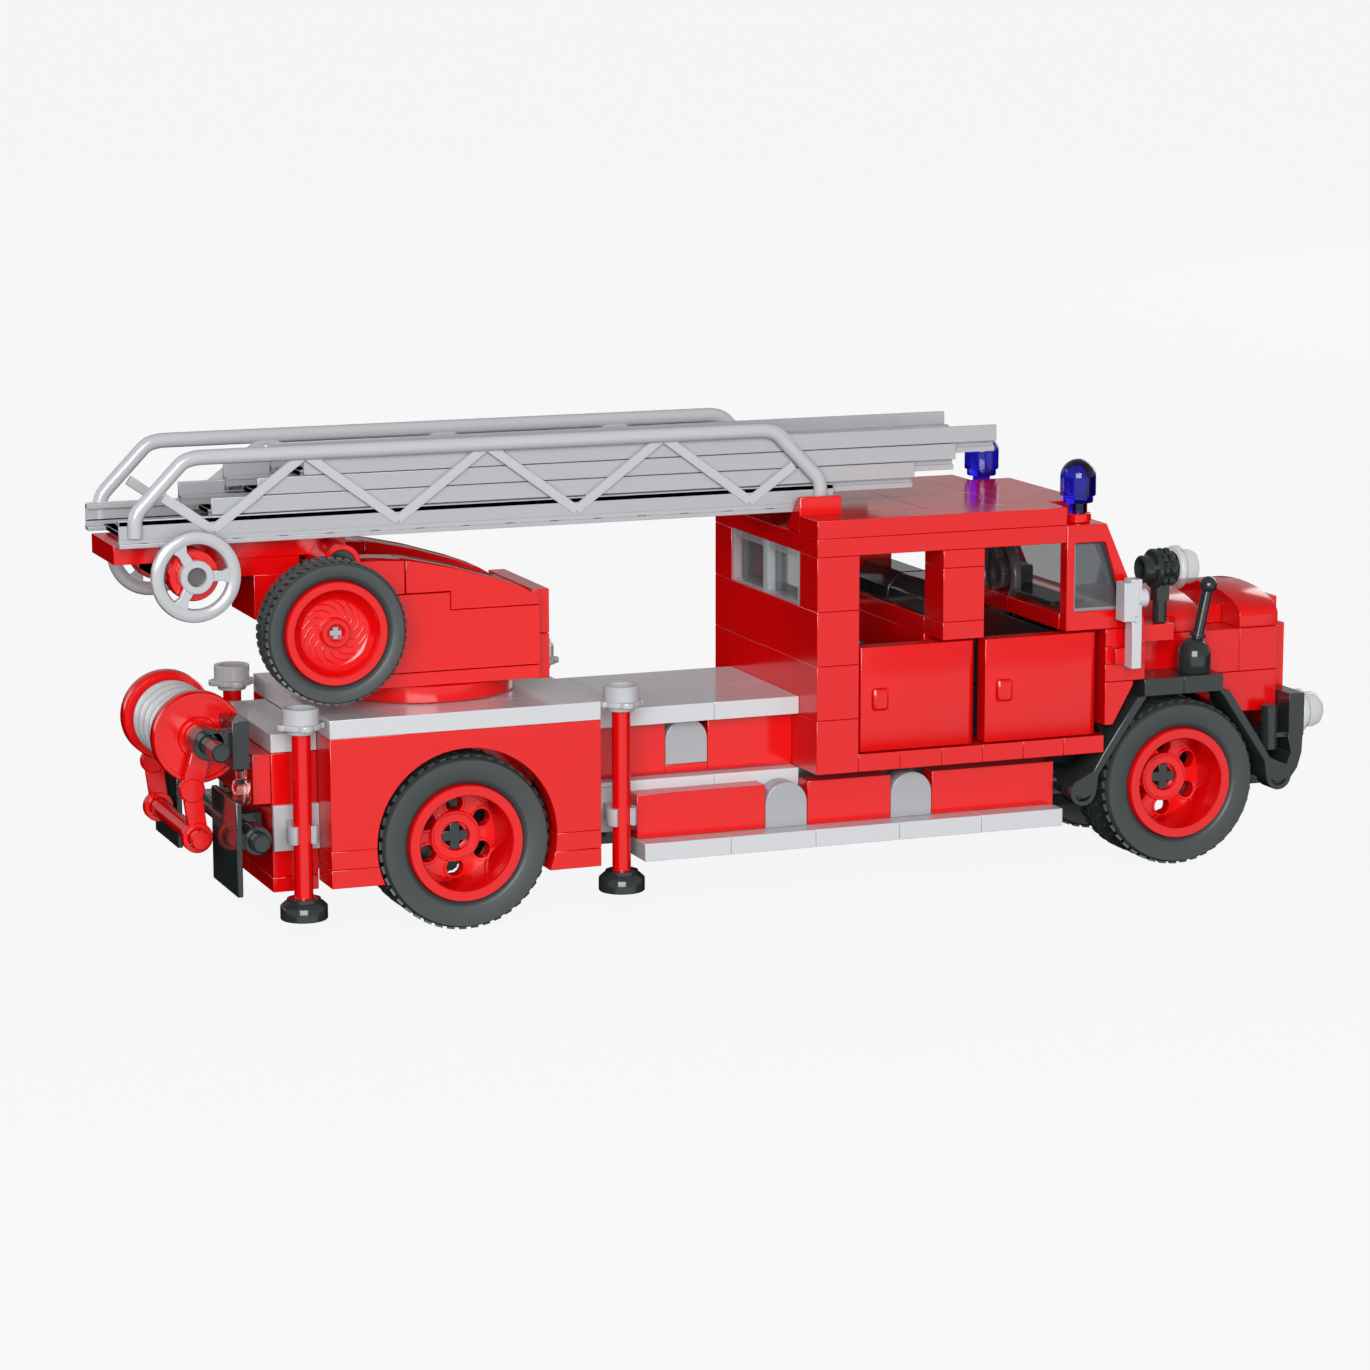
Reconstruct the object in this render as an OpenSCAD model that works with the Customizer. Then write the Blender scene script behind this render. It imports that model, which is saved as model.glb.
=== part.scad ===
// Toy turntable-ladder fire engine built from interlocking bricks.
// +X is the front, +Y the engine's left side, +Z up. The origin is on the floor,
// under the middle of the overall length and width. Millimetres.
// Positions along X are counted in studs from the rear edge of the rear door opening,
// positions across Y in studs from the right side of the body, and heights in plates
// from the underside of the cab floor.

/* [Brick grid] */
// stud pitch
stud = 8; // [6.4:0.1:9.6]
// plate height
plate = 3.2; // [2.6:0.1:3.9]
// body width in studs
body_studs = 6; // [6:1:7]
// height of the underside of the cab floor above the floor
ride_h = 22.2; // [21:0.1:26]

/* [Road wheels] */
// tyre outside diameter
tyre_d = 30.4; // [25.2:0.2:30.8]
// tyre width
tyre_w = 14; // [11.8:0.2:15]
// rim outside diameter, inside the tyre
rim_d = 20.6; // [17:0.2:24]
// rim disc thickness
rim_disc_t = 3; // [2.4:0.1:3.8]
// depth of the disc below the rim edge
rim_dish = 6.4; // [5.3:0.1:7.7]
// hub boss diameter
hub_d = 8; // [6.6:0.1:9.6]
// diameter of the round holes in the rim disc
rim_hole_d = 3; // [2.4:0.1:3.4]
// how far the outer tyre face lies inside the body side
tyre_in = 0.6; // [0.5:0.1:1]
// axle diameter
axle_d = 4.8; // [4:0.1:5.4]
// radial clearance of a running fit
run_gap = 0.06; // [0.03:0.01:0.09]

/* [Turret side wheel] */
// side wheel tyre diameter
side_tyre_d = 24.4; // [20:0.2:24.8]
// side wheel width
side_tyre_w = 7.6; // [6.2:0.1:7.9]
// side wheel rim diameter
side_rim_d = 17.6; // [14.6:0.2:19]

/* [Cab] */
// door length in studs
door_len = 3; // [3:1:4]
// door thickness
door_t = 3.2; // [2.6:0.1:3.8]
// gap round a door
door_gap = 0.3; // [0.2:0.05:0.4]
// glass thickness
glass_t = 1.2; // [1:0.1:1.5]
// beacon dome diameter
beacon_d = 6.4; // [5.3:0.1:7.7]

/* [Ladder] */
// outside width of the base section
ladder_w = 25; // [24.4:0.1:26.4]
// side wall thickness of the base section
base_wall = 0.9; // [0.75:0.05:1]
// side wall thickness of a sliding section
slide_wall = 0.7; // [0.6:0.05:0.8]
// gap between one section and the next on each side
slide_gap = 0.18; // [0.15:0.01:0.22]
// how far the handrail bulges out of the side wall
rail_out = 1; // [0.8:0.1:1.2]
// hand wheel diameter
hand_d = 15.4; // [12.8:0.2:16.6]

/* [Jacks and reel] */
// jack pole diameter
pole_d = 3.2; // [2.7:0.1:3.6]
// jack foot diameter
foot_d = 8; // [6.7:0.1:8.8]
// jack foot height
foot_h = 3.6; // [3:0.1:4.3]
// reel flange diameter
reel_d = 15.6; // [13:0.2:15.8]
// hose drum diameter over the ribs
drum_d = 13.2; // [11:0.2:13.4]

/* [Hidden] */
$fn = 64;
eps = 0.01;
bar_d = pole_d;
half_w = body_studs*stud/2;
front_axle = 8;
rear_axle = -9;
tail_x = -13;
rear_x0 = -12;
rear_x1 = -6;
mid_x1 = -1;
cab_x1 = 2*door_len;
nose_x = cab_x1+5;
ladder_x0 = -16;
slew_x = -9.05;
pivot_x = -11.39;
pivot_z = 12.8;
lug_d = 6.6;
side_axle_x = -11.8;
side_axle_z = 9.55;
reel_x = -14.4;
axle_z = (tyre_d/2-ride_h)/plate;
reel_z = 3.85;
lens_out = 5.4;
x_mid = (X0(ladder_x0)+X0(nose_x)+plate+lens_out)/2;

function X0(s) = s*stud;
function X(s) = s*stud - x_mid;
function Y(s) = -half_w + s*stud;
function Z(p) = ride_h + p*plate;

red = [0.80,0.02,0.02]; black = [0.03,0.03,0.03]; grey = [0.36,0.38,0.41];
light = [0.62,0.63,0.65];
rubber = [0.02,0.02,0.02]; blue = [0.02,0.05,0.35,0.7]; clear = [0.8,0.82,0.85,0.4];

// block between grid positions
module gb(x0,x1,y0,y1,z0,z1) {
  translate([X(x0),Y(y0),Z(z0)]) cube([(x1-x0)*stud,(y1-y0)*stud,(z1-z0)*plate]);
}
// the same on both sides
module gb2(x0,x1,y0,y1,z0,z1) {
  gb(x0,x1,y0,y1,z0,z1);
  mirror([0,1,0]) gb(x0,x1,y0,y1,z0,z1);
}
module both() { children(); mirror([0,1,0]) children(); }
// cylinder along Y from y0 to y1 (studs)
module cy(x,z,d,y0,y1) {
  translate([X(x),Y(y0),Z(z)]) rotate([-90,0,0]) cylinder(h=(y1-y0)*stud,d=d);
}
// cylinder along Z
module cz(x,y,d,z0,z1) {
  translate([X(x),Y(y),Z(z0)]) cylinder(h=(z1-z0)*plate,d=d);
}
// cylinder along X, length in mm
module cx(x,y,z,d,len) {
  translate([X(x),Y(y),Z(z)]) rotate([0,90,0]) cylinder(h=len,d=d);
}
// outline in the XZ plane, [studs, plates], extruded from y0 to y1 (studs)
module side_plate(pts,y0,y1) {
  translate([0,Y(y1),0]) rotate([90,0,0])
    linear_extrude(height=(y1-y0)*stud) polygon([for(p=pts) [X(p[0]),Z(p[1])]]);
}

// ---------------------------------------------------------------- chassis
module wheel_well(ax,y1=1.75) {
  both() cy(ax,axle_z,4.1*stud,-1,y1);
}
module chassis_frame() color(black) difference() {
  union() {
    gb(rear_x0,nose_x-0.8,2,4,-4,-0.2);
    gb(rear_x0,rear_x1,1,5,3,4);
    gb(rear_x0,rear_x1,2,4,-0.3,3.1);
    gb(rear_x1-0.5,mid_x1,1.8,4.2,-0.3,3);
    gb(rear_x1,cab_x1-1,1,5,-3,-1);
    gb(mid_x1,cab_x1-1,1,5,-1.1,0);
    gb(cab_x1,nose_x-0.8,2,4,-0.3,1.1);
    gb2(cab_x1-1.05,cab_x1-0.1,1.2,2.1,-2.9,-1.5);
    both() cy(front_axle-arm_x,-2.2,bar_d,0.12,1.3);
  }
  cy(front_axle,axle_z,axle_d+2*run_gap,1,5);
  cy(rear_axle,axle_z,axle_d+2*run_gap,1,5);
  cz(slew_x,3,axle_d+2*run_gap,3,5);
}
module running_boards() color(grey) gb2(-5,5,0,1,-4,-3);
module arch_tile(x,y0,y1,z0,d=0) {
  w = stud-2*d;
  translate([X(x)+stud/2,Y(y1),Z(z0)]) rotate([90,0,0])
    linear_extrude(height=(y1-y0)*stud) {
      translate([-w/2,0]) square([w,stud-w/2]);
      translate([0,stud-w/2]) circle(d=w);
    }
}
module lower_lockers() color(red) both() {
  gb(-5,-2,0.5,1,-3,-0.5);
  gb(-1,1,0.5,1,-3,-0.5);
  gb(2,5,0.5,1,-3,-0.5);
}
module locker_arches() color(grey) both() {
  arch_tile(-2,0.5,1,-3);
  arch_tile(1,0.5,1,-3);
  arch_tile(-4,1.4,1.8,0.5);
}
module upper_lockers() color(red) {
  gb2(rear_x1,-4,1.4,1.8,0,3);
  gb2(-3,mid_x1,1.4,1.8,0,3);
  gb2(-4,-3,1.4,1.8,0,0.5);
}

// ---------------------------------------------------------------- rear body
module rear_body() color(red) both() difference() {
  gb(rear_x0,rear_x1,0,1,-4,4);
  cy(rear_axle,-2,4*stud,-1,2);
}
module deck_tiles() color(grey) {
  difference() {
    gb(rear_x0,rear_x1,0,6,4,5);
    cz(slew_x,3,axle_d+2*run_gap,3,6);
  }
  gb(tail_x,rear_x0,1,5,3,4);
  gb(rear_x1,mid_x1,1,5,3,4);
}
module step_tiles() color(grey) difference() {
  gb(rear_x1,mid_x1,1,5,-1,0);
  gb(rear_x1-1,mid_x1+1,1.8,4.2,-2,1);
}
module tail_wall() color(red) {
  gb(tail_x,rear_x0,1,5,-4.5,3);
  gb(tail_x-0.4,tail_x,1,5,0.3,3);
}

// ---------------------------------------------------------------- cab
module cab_rear_wall() color(red) {
  gb(mid_x1,0,1,5,0,9);
}
module cab_side_frames() color(red) {
  gb2(mid_x1,0,0,1,0,12);
  gb2(door_len-1,door_len,0,1,7,12);
  gb(door_len-1,door_len,1,5,1,8);
}
module cab_floor() color(red) {
  gb(0,cab_x1,0,6,0,1);
}
module cab_roof() color(red) {
  gb(mid_x1,cab_x1-1,0,6,12,13);
  gb(0,cab_x1-1,0,6,13,14);
  gb2(mid_x1,0.01,0,1,13,14);
  gb(cab_x1-1.1,cab_x1,1,5,13,14);
}
module ladder_cradles() color(red) both()
  translate([X(mid_x1),0,0]) rotate([90,0,90]) linear_extrude(height=stud)
    polygon([[Y(1),Z(13)],[Y(1.83),Z(13)],[Y(1.06),Z(15)],[Y(1),Z(15)]]);
ws_out = [[5,7],[7,7],[7,7.35],[6,13],[5,13]];
ws_in = [[5.2,8.07],[6.46,8.07],[5.96,11.95],[5.2,11.95]];
function shift_x(pts) = [for(p=pts) [p[0]+cab_x1-6,p[1]]];
module windscreen_frame() color(red) {
  both() cz(cab_x1-0.5,0.5,4.8,13,13.5);
  difference() {
  side_plate(shift_x(ws_out),0,6);
  side_plate(shift_x([[4,8.07],[6.42,8.07],[5.78,11.95],[4,11.95]]),0.35,5.65);
  side_plate(shift_x(ws_in),-1,7);
  side_plate(shift_x([[5.5,8.07],[8,8.07],[8,11.95],[5.5,11.95]]),0.45,5.55);
  gb(cab_x1-1.1,cab_x1-0.1,wheel_y-1,wheel_y+1,6.2,8.2);
  }
}
module cab_glass() color(clear) {
  both() side_plate(shift_x([[5.21,8.12],[6.35,8.12],[5.85,11.9],[5.21,11.9]]),0.1,0.1+glass_t/stud);
  side_plate(shift_x([[6.44,8.1],[6.44+glass_t/stud,8.1],[5.80+glass_t/stud,11.92],[5.80,11.92]]),0.46,5.54);
}
module rear_windows() color(clear) {
  difference() {
    gb(mid_x1,mid_x1+0.5,1,5,9,12);
    gb(mid_x1-1,1,1.2,2.85,9.3,11.6);
    gb(mid_x1-1,1,3.15,4.8,9.3,11.6);
  }
  gb(mid_x1+0.2,mid_x1+0.35,1.1,4.9,9.2,11.7);
}
module seats() color(black) {
  both() gb(0.4,1.8,0.9,2.6,1,4);
  both() side_plate([[0.4,4],[0.9,4],[0.4,6.9]],0.9,2.6);
  both() gb(door_len,door_len+1.2,0.9,2.6,1,4);
  both() side_plate([[door_len,4],[door_len+0.5,4],[door_len,7.5]],0.9,2.6);
  both() side_plate([[door_len-1,8],[door_len-1,9],[door_len-0.65,9.7],[door_len,9.7],[door_len,8]],1.02,2.98);
}
wheel_x = cab_x1-0.82; wheel_y = 4; wheel_z = 8.8; wheel_d = 15.4;
module steering_wheel() color(black) {
  gb(cab_x1-0.8,cab_x1-0.05,0.9,5.1,1,6.6);
  gb(cab_x1-0.5,cab_x1-0.15,wheel_y-0.3,wheel_y+0.3,6.5,8.1);
  gb(cab_x1-0.57,cab_x1,wheel_y-0.4,wheel_y+0.4,8.08,9.4);
  difference() {
    cx(wheel_x,wheel_y,wheel_z,wheel_d,2);
    cx(wheel_x-1,wheel_y,wheel_z,wheel_d-4.4,stud*2);
  }
  cx(wheel_x,wheel_y,wheel_z,4.4,2.4);
  translate([X(wheel_x)+0.3,Y(wheel_y),Z(wheel_z)]) for(a=[0:120:240]) rotate([a,0,0])
    translate([0,-0.8,0]) cube([1.4,1.6,wheel_d/2-1.5]);
}

module cowl() color(red) {
  difference() {
    gb(cab_x1,cab_x1+1,0,6,4,7);
    gb(cab_x1-1,cab_x1+2,1.05,4.95,3,6);
  }
  both() side_plate([[cab_x1,4],[cab_x1+0.71,4],[cab_x1+0.70,3.73],[cab_x1+0.21,1.53],[cab_x1,1.53]],0,1);
  both() gb(cab_x1,cab_x1+0.2,0.95,1.1,1.6,4);
}
module hood() color(red) {
  difference() {
    gb(cab_x1,nose_x,1.1,4.9,1.1,6);
    wheel_well(front_axle,1.95);
  }
  gb(cab_x1+3,cab_x1+4,2,4,6,7.1);
  gb(cab_x1+1.05,cab_x1+1.85,0.25,1.1,6,7);
}
// curved roof piece: quarter arch from the side lip to the middle
module hood_arch(x0,x1,z1) {
  translate([X(x0),0,0]) rotate([90,0,90]) linear_extrude(height=(x1-x0)*stud)
    polygon(concat([[Y(1.1),Z(6)],[Y(1.1),Z(6.7)]],
      [for(a=[10:10:90]) [Y(3)-(1.9*stud)*cos(a),Z(6.7)+(z1-6.7)*plate*sin(a)]],
      [for(a=[80:-10:0]) [Y(3)+(1.9*stud)*cos(a),Z(6.7)+(z1-6.7)*plate*sin(a)]],
      [[Y(4.9),Z(6)]]));
}
module hood_curves() color(red) {
  difference() {
    union() { hood_arch(cab_x1+1,cab_x1+3,8.1); hood_arch(cab_x1+4,cab_x1+5,8.05); }
    gb(cab_x1+1.85,cab_x1+6,7,7.01,5,5.5);
  }
}
module radiator_grille() color(red) {
  difference() {
    gb(nose_x,nose_x+0.4,1.5,4.5,0,6);
    for(k=[0:3]) gb(nose_x+0.25,nose_x+1,1.9,4.1,0.8+1.2*k,1.4+1.2*k);
  }
  difference() {
    gb(nose_x,nose_x+0.4,1.9,4.1,6,7.4);
    gb(nose_x-1,nose_x+1,2.2,3.8,6.5,6.9);
  }
}

// ---------------------------------------------------------------- front
arm_x = 2.49;
arm_pts = [[-1.17,3.01],[-2,-0.05],[-2.25,-1.05],[-2.62,-1.5],[-2.8,-1.95],[-2.15,-2.2],[-2.11,-1.27],
  [-1,2.75],[-0.95,2.9],[-0.95,3.05]];
module fender_arm(dir) {
  side_plate([for(p=arm_pts) [front_axle-dir*p[0],p[1]]],0,1.1);
  cy(front_axle+dir*arm_x,-2.2,5.1,0,0.5);
}
module front_fenders() color(black) difference() {
  both() {
    gb(front_axle-1,front_axle+1,0,1.1,3,4);
    fender_arm(1);
    fender_arm(-1);
  }
  for(d=[-1,1]) cy(front_axle+d*arm_x,-2.2,bar_d+0.04,-1,7);
}
module bumper() color(black) {
  cy(front_axle+arm_x,-2.2,bar_d,0.05,5.95);
  gb(nose_x-0.8,nose_x-0.35,1.15,4.85,-3,-0.15);
  gb(nose_x-0.4,nose_x+0.1,0.6,5.4,-0.3,0);
  gb2(nose_x,nose_x+0.4,0.5,1.5,-0.22,2.28);
  side_plate([[nose_x-0.02,-0.1],[nose_x+0.38,-0.1],[nose_x+0.36,-1.2],[nose_x+0.25,-2.1],
    [nose_x+0.05,-2.75],[nose_x-0.12,-2.3],[nose_x+0.08,-1.2]],0.5,5.5);
  side_plate([[nose_x+0.07,-2.7],[nose_x-0.25,-3.2],[nose_x-0.6,-3.2],[nose_x-0.6,-2.6],[nose_x-0.1,-2.35]],1.15,4.85);
  both() cz(nose_x-0.35,0.78,bar_d,-1,1.6);
}
module headlight_lenses() color(clear) both() {
  cx(nose_x+0.4,1,1.03,stud-0.1,1.6);
  cx(nose_x+0.4,1,1.03,6.5,lens_out);
}
module beacons() color(blue) both() {
  cz(cab_x1-0.5,0.5,bar_d,13.5,14.15);
  cz(cab_x1-0.5,0.5,beacon_d-0.9,14.07,14.5);
  cz(cab_x1-0.5,0.5,beacon_d,14.46,15.5);
  difference() {
    translate([X(cab_x1-0.5),Y(0.5),Z(15.5)]) sphere(d=beacon_d);
    cz(cab_x1-0.5,0.5,2*beacon_d,12,15.5);
  }
}
module searchlight_body() color(black) {
  cx(cab_x1+1.08,0.5,10.05,5,2.6);
  cx(cab_x1+1.35,0.5,10.05,stud,4.4);
  cz(cab_x1+1.6,0.5,2.6,7,9.2);
}
module searchlight_lens() color(clear) {
  cx(cab_x1+1.9,0.5,10.05,stud-0.1,1.6);
  cx(cab_x1+1.9,0.5,10.05,6.5,4.2);
}
module mirrors() color(grey) both() {
  gb(cab_x1+0.13,cab_x1+0.5,-0.62,-0.2,7.6,9.8);
  gb(cab_x1+0.33,cab_x1+0.62,-0.58,-0.2,4.9,9.95);
  cx(cab_x1+0.4,-0.4,8.85,3.4,3);
  gb(cab_x1+0.15,cab_x1+0.85,-0.2,0,5.05,5.95);
}
module marker_poles() color(black) both() {
  cz(front_axle+0.5,0.5,6.2,4,5);
  translate([X(front_axle+0.5),Y(0.5),Z(5)]) sphere(d=6.1);
  translate([X(front_axle+0.5),Y(0.5),Z(5)]) rotate([0,12,0]) cylinder(h=12.4,d=2);
  translate([X(front_axle+0.5),Y(0.5),Z(5)]) rotate([0,12,0]) translate([0,0,12.8]) sphere(d=3.2);
}

// ---------------------------------------------------------------- jacks and rear fittings
front_jack_x = -5.45; rear_jack_x = -12.55; jack_y = 0.25;
foot_z = -5.55; cap_z = 5.7;
module jack(x) {
  foot_top = Z(foot_z)+foot_h;
  translate([X(x),Y(jack_y),0]) {
    translate([0,0,Z(foot_z)]) cylinder(h=foot_h,d=foot_d);
    translate([0,0,foot_top-1]) cylinder(h=Z(cap_z)-foot_top-1,d=pole_d);
    translate([0,0,Z(cap_z)-4.4]) cylinder(h=0.9,d=5);
    translate([0,0,Z(cap_z)-3.6]) cylinder(h=1,d=8.4);
    translate([0,0,Z(cap_z)-3.6]) difference() {
      cylinder(h=3.6,d=6.2);
      translate([0,0,2]) cylinder(h=5,d=4.8);
    }
  }
}
module clip(x,zc,x0) {
  gb(x0,x0+1,0.86,1,zc-1.25,zc+1.25);
  difference() {
    union() {
      translate([X(x),Y(jack_y),Z(zc)-plate/2]) cylinder(h=plate,d=pole_d+2.2);
      gb(x-0.2,x+0.2,jack_y,0.9,zc-0.5,zc+0.5);
    }
    translate([X(x),Y(jack_y),Z(zc)-plate]) cylinder(h=2*plate,d=pole_d+2*run_gap);
    gb(x-0.15,x+0.15,-1,jack_y,zc-2,zc+2);
  }
}
module jack_clips() color(grey) both() {
  clip(front_jack_x,-1.45,-6);
  clip(rear_jack_x,-1,-13);
}
module ring_arm(y0,y1) {
  difference() {
    union() {
      cy(reel_x,reel_z,5.2,y0,y1);
      side_plate([[reel_x-0.22,reel_z-0.2],[reel_x+0.22,reel_z-0.2],[reel_x+0.0,1.2],[reel_x-0.45,1.2]],y0,y1);
      cy(reel_x-0.23,1.2,4.4,y0,y1);
      side_plate([[reel_x-0.45,1.2],[reel_x,1.2],[reel_x+0.1,-1.2],[reel_x-0.3,-1.2]],y0,y1);
      cy(reel_x-0.14,-1.35,5.2,y0,y1);
    }
    cy(reel_x,reel_z,bar_d,y0-1,y1+1);
  }
}
module reel_arms() color(red) {
  ring_arm(1.22,1.45);
  ring_arm(4.55,4.78);
  cy(reel_x-0.14,-1.35,bar_d,0.95,5.05);
}
module reel_axle() color(black) {
  cy(reel_x,reel_z,bar_d,-0.3,6.3);
  both() {
    gb(reel_x+0.44,reel_x+0.82,0.5,1.5,2.5,5.06);
    gb(reel_x+0.75,tail_x-0.4,1.02,1.48,2.55,2.9);
    cy(reel_x,reel_z,5.4,0.7,1.2);
    gb(reel_x,reel_x+0.55,0.7,1.2,3.2,4.5);
  }
}
module tail_lights() color([0.8,0.3,0.3,0.6]) both() {
  cz(reel_x+0.62,0.5,3.1,0.75,2);
  cz(reel_x+0.62,0.5,2,1.9,2.5);
}
flap_x = -14.17; flap_bar_x = -13.66; flap_bar_z = -0.9;
module mud_flaps() color(black) {
  both() {
    gb(flap_x,flap_x+0.13,-0.5,1.5,-3.7,1.3);
    cy(flap_bar_x,flap_bar_z,4.9,-0.3,0.3);
    gb(flap_x+0.1,flap_bar_x-0.1,-0.28,0.28,flap_bar_z-0.4,flap_bar_z+0.4);
  }
  cy(flap_bar_x,flap_bar_z,bar_d,-0.62,6.62);
  both() gb(flap_bar_x-0.1,tail_x-0.05,1.6,2.1,flap_bar_z-0.45,flap_bar_z+0.45);
}

// ---------------------------------------------------------------- road wheels

module rim(x,w) {
  translate([X(x),Y(0)+tyre_in,Z(axle_z)]) rotate([-90,0,0]) translate([0,0,0.8]) difference() {
    union() {
      difference() {
        cylinder(h=w-1.6,d=rim_d);
        translate([0,0,-1]) cylinder(h=w+2,d=rim_d-2);
      }
      translate([0,0,rim_dish]) cylinder(h=rim_disc_t,d=rim_d-1);
      translate([0,0,1]) cylinder(h=rim_dish+rim_disc_t,d=hub_d);
    }
    translate([0,0,-1]) cylinder(h=w+3,d=axle_d);
    for(a=[30:60:330]) rotate(a) translate([hub_d/2+rim_hole_d/2+0.5,0,0]) cylinder(h=w,d=rim_hole_d);
  }
}
module road_tyre(x) {
  translate([X(x),Y(0)+tyre_in,Z(axle_z)]) rotate([-90,0,0]) rotate_extrude()
    polygon([[rim_d/2,0.6],[rim_d/2+0.4,0],[tyre_d/2-1.25,0],[tyre_d/2,1.2],[tyre_d/2,tyre_w-1.2],
      [tyre_d/2-1.25,tyre_w],[rim_d/2+0.4,tyre_w],[rim_d/2,tyre_w-0.6]]);
}
module axle_shaft(x) {
  cy(x,axle_z,axle_d,1.1,4.9);
  both() cy(x,axle_z,7.2,1.85,1.98);
}
module front_axle_shaft() color(black) axle_shaft(front_axle);
module rear_axle_shaft() color(black) axle_shaft(rear_axle);
module front_rims() color(red) both() rim(front_axle,tyre_w);
module rear_rims() color(red) both() rim(rear_axle,tyre_w);
module front_tyres() color(rubber) both() road_tyre(front_axle);
module rear_tyres() color(rubber) both() road_tyre(rear_axle);

// ---------------------------------------------------------------- doors
module door(x1) {
  hx = x1-0.38;
  hinge_y = door_t/2;
  translate([X(x1-door_len)+door_gap,Y(0),Z(1)+door_gap])
    cube([X(hx)-X(x1-door_len)-door_gap,door_t,6*plate-2*door_gap]);
  translate([X(hx),Y(0)+hinge_y,Z(1)+door_gap]) cylinder(h=6*plate-2*door_gap,d=door_t);
  translate([X(x1-door_len)+3.4,Y(0)-0.8,Z(3.6)]) cylinder(h=3,d=1.8);
  translate([X(x1-door_len)+2.9,Y(0)-0.6,Z(3.6)]) cube([1,0.7,3]);
}
module door_front_right() color(red) door(cab_x1);
module door_rear_right() color(red) door(door_len);
module door_front_left() color(red) mirror([0,1,0]) door(cab_x1);
module door_rear_left() color(red) mirror([0,1,0]) door(door_len);

// ---------------------------------------------------------------- turret
wall_pts = [[-12,6],[-7,6],[-7,10.43],[-7.36,10.96],[-7.88,11.45],[-8.87,12.2],[-9.71,12.67],
  [-10.55,12.85],[-11.2,12.85],[-11.9,12.85],[-11.9,10.9],[-12.45,10.6],[-12.45,8.9],[-12,8.4]];
module turret_body() color(red) {
  difference() {
    union() {
      both() side_plate(wall_pts,1,2);
      both() cy(pivot_x,pivot_z,lug_d,1,2);
      gb(-12,-7,2,4,6,7.5);
      gb(-10.7,-7,2,4,7.4,9);
      gb(-8,-7,1.9,4.1,8.9,10.6);
      gb(-7,-6.6,1.5,4.5,5.7,10.65);
      translate([X(slew_x),0,Z(5)+0.1]) cylinder(h=plate,d=4*stud);
      translate([X(slew_x),0,Z(3.3)]) cylinder(h=2*plate,d=axle_d);
      gb(-6.6,-6.35,2.1,2.5,6.6,7.6);
    }
    cy(side_axle_x,side_axle_z,axle_d+2*run_gap,0,2.5);
  }
  cy(pivot_x,pivot_z,4.8,1.5,4.5);
}
module side_wheel_rim() color(red) {
  translate([X(side_axle_x),Y(0)-0.4,Z(side_axle_z)]) rotate([-90,0,0]) {
    difference() {
      translate([0,0,0.6]) cylinder(h=side_tyre_w-1.2,d=side_rim_d);
      translate([0,0,-1]) difference() { cylinder(h=3,d=side_rim_d-2.4); cylinder(h=3,d=hub_d); }
    }
    translate([0,0,side_tyre_w-0.7]) cylinder(h=stud-side_tyre_w+1,d=7.4);
    translate([0,0,1]) cylinder(h=2*stud-0.8,d=axle_d);
  }
}
module side_wheel_tyre() color(rubber)
  translate([X(side_axle_x),Y(0)-0.4,Z(side_axle_z)]) rotate([-90,0,0]) rotate_extrude()
    polygon([[side_rim_d/2,0.3],[side_rim_d/2+0.3,0],[side_tyre_d/2-1.2,0],[side_tyre_d/2,1.3],
      [side_tyre_d/2,side_tyre_w-1.3],[side_tyre_d/2-1.2,side_tyre_w],[side_rim_d/2+0.3,side_tyre_w],
      [side_rim_d/2,side_tyre_w-0.3]]);

// ---------------------------------------------------------------- ladder
sec_y = ladder_w/2-base_wall-slide_gap;
foot_y = sec_y-slide_wall-slide_gap;
sec_foot = [14.95,15.84,16.76];
sec_bot = [15.54,16.45,17.37];
sec_top = [16.41,17.33,18.27];
sec_x0 = [-14,-13,-12];
sec_x1 = [2,3,4];
module both_y(h,t,x,len,z0,z1) {
  both() translate([x,-h,Z(z0)]) cube([len,t,(z1-z0)*plate]);
}
module sec(k) {
  i = k-2;
  x = X(sec_x0[i]);
  len = (sec_x1[i]-sec_x0[i])*stud;
  both_y(sec_y,slide_wall,x,len,sec_bot[i],sec_top[i]);
  both_y(sec_y,slide_wall+2,x,len,sec_bot[i],sec_bot[i]+0.2);
  both_y(foot_y-0.6,0.9,x,len,sec_foot[i],sec_bot[i]+0.1);
  both_y(foot_y,1.5,x,len,sec_foot[i],sec_foot[i]+0.31);
  for(n=[0:15]) translate([x+stud*(n+0.5)-1,-foot_y+0.3,Z(sec_foot[i])]) cube([2,2*foot_y-0.6,0.28*plate]);
}
module ladder_base() color(light) {
  h = ladder_w/2;
  x = X(ladder_x0);
  len = -ladder_x0*stud;
  skin = base_wall-0.35;
  both_y(h-0.35,skin,x,len,14.5,15.5);
  both_y(h-0.35,skin+1,x,len,15.2,15.45);
  both_y(h-0.5,0.4,x,len,14.2,14.6);
  both_y(h,2.6,x,len,14.05,14.28);
  for(n=[0:15]) translate([x+stud*(n+0.5)-1,-h+0.3,Z(14.05)]) cube([2,2*h-0.6,0.28*plate]);
  both() ladder_truss();
}
// straight bar in the side wall, between two points, w high and t thick
module strut(xa,za,xb,zb,w,t=base_wall) {
  y0 = 3-ladder_w/2/stud;
  dx = (xb-xa)*stud; dz = (zb-za)*plate; L = sqrt(dx*dx+dz*dz);
  nx = -dz/L*w/2/stud; nz = dx/L*w/2/plate;
  side_plate([[xa+nx,za+nz],[xb+nx,zb+nz],[xb-nx,zb-nz],[xa-nx,za-nz]],y0,y0+t/stud);
}
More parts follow.
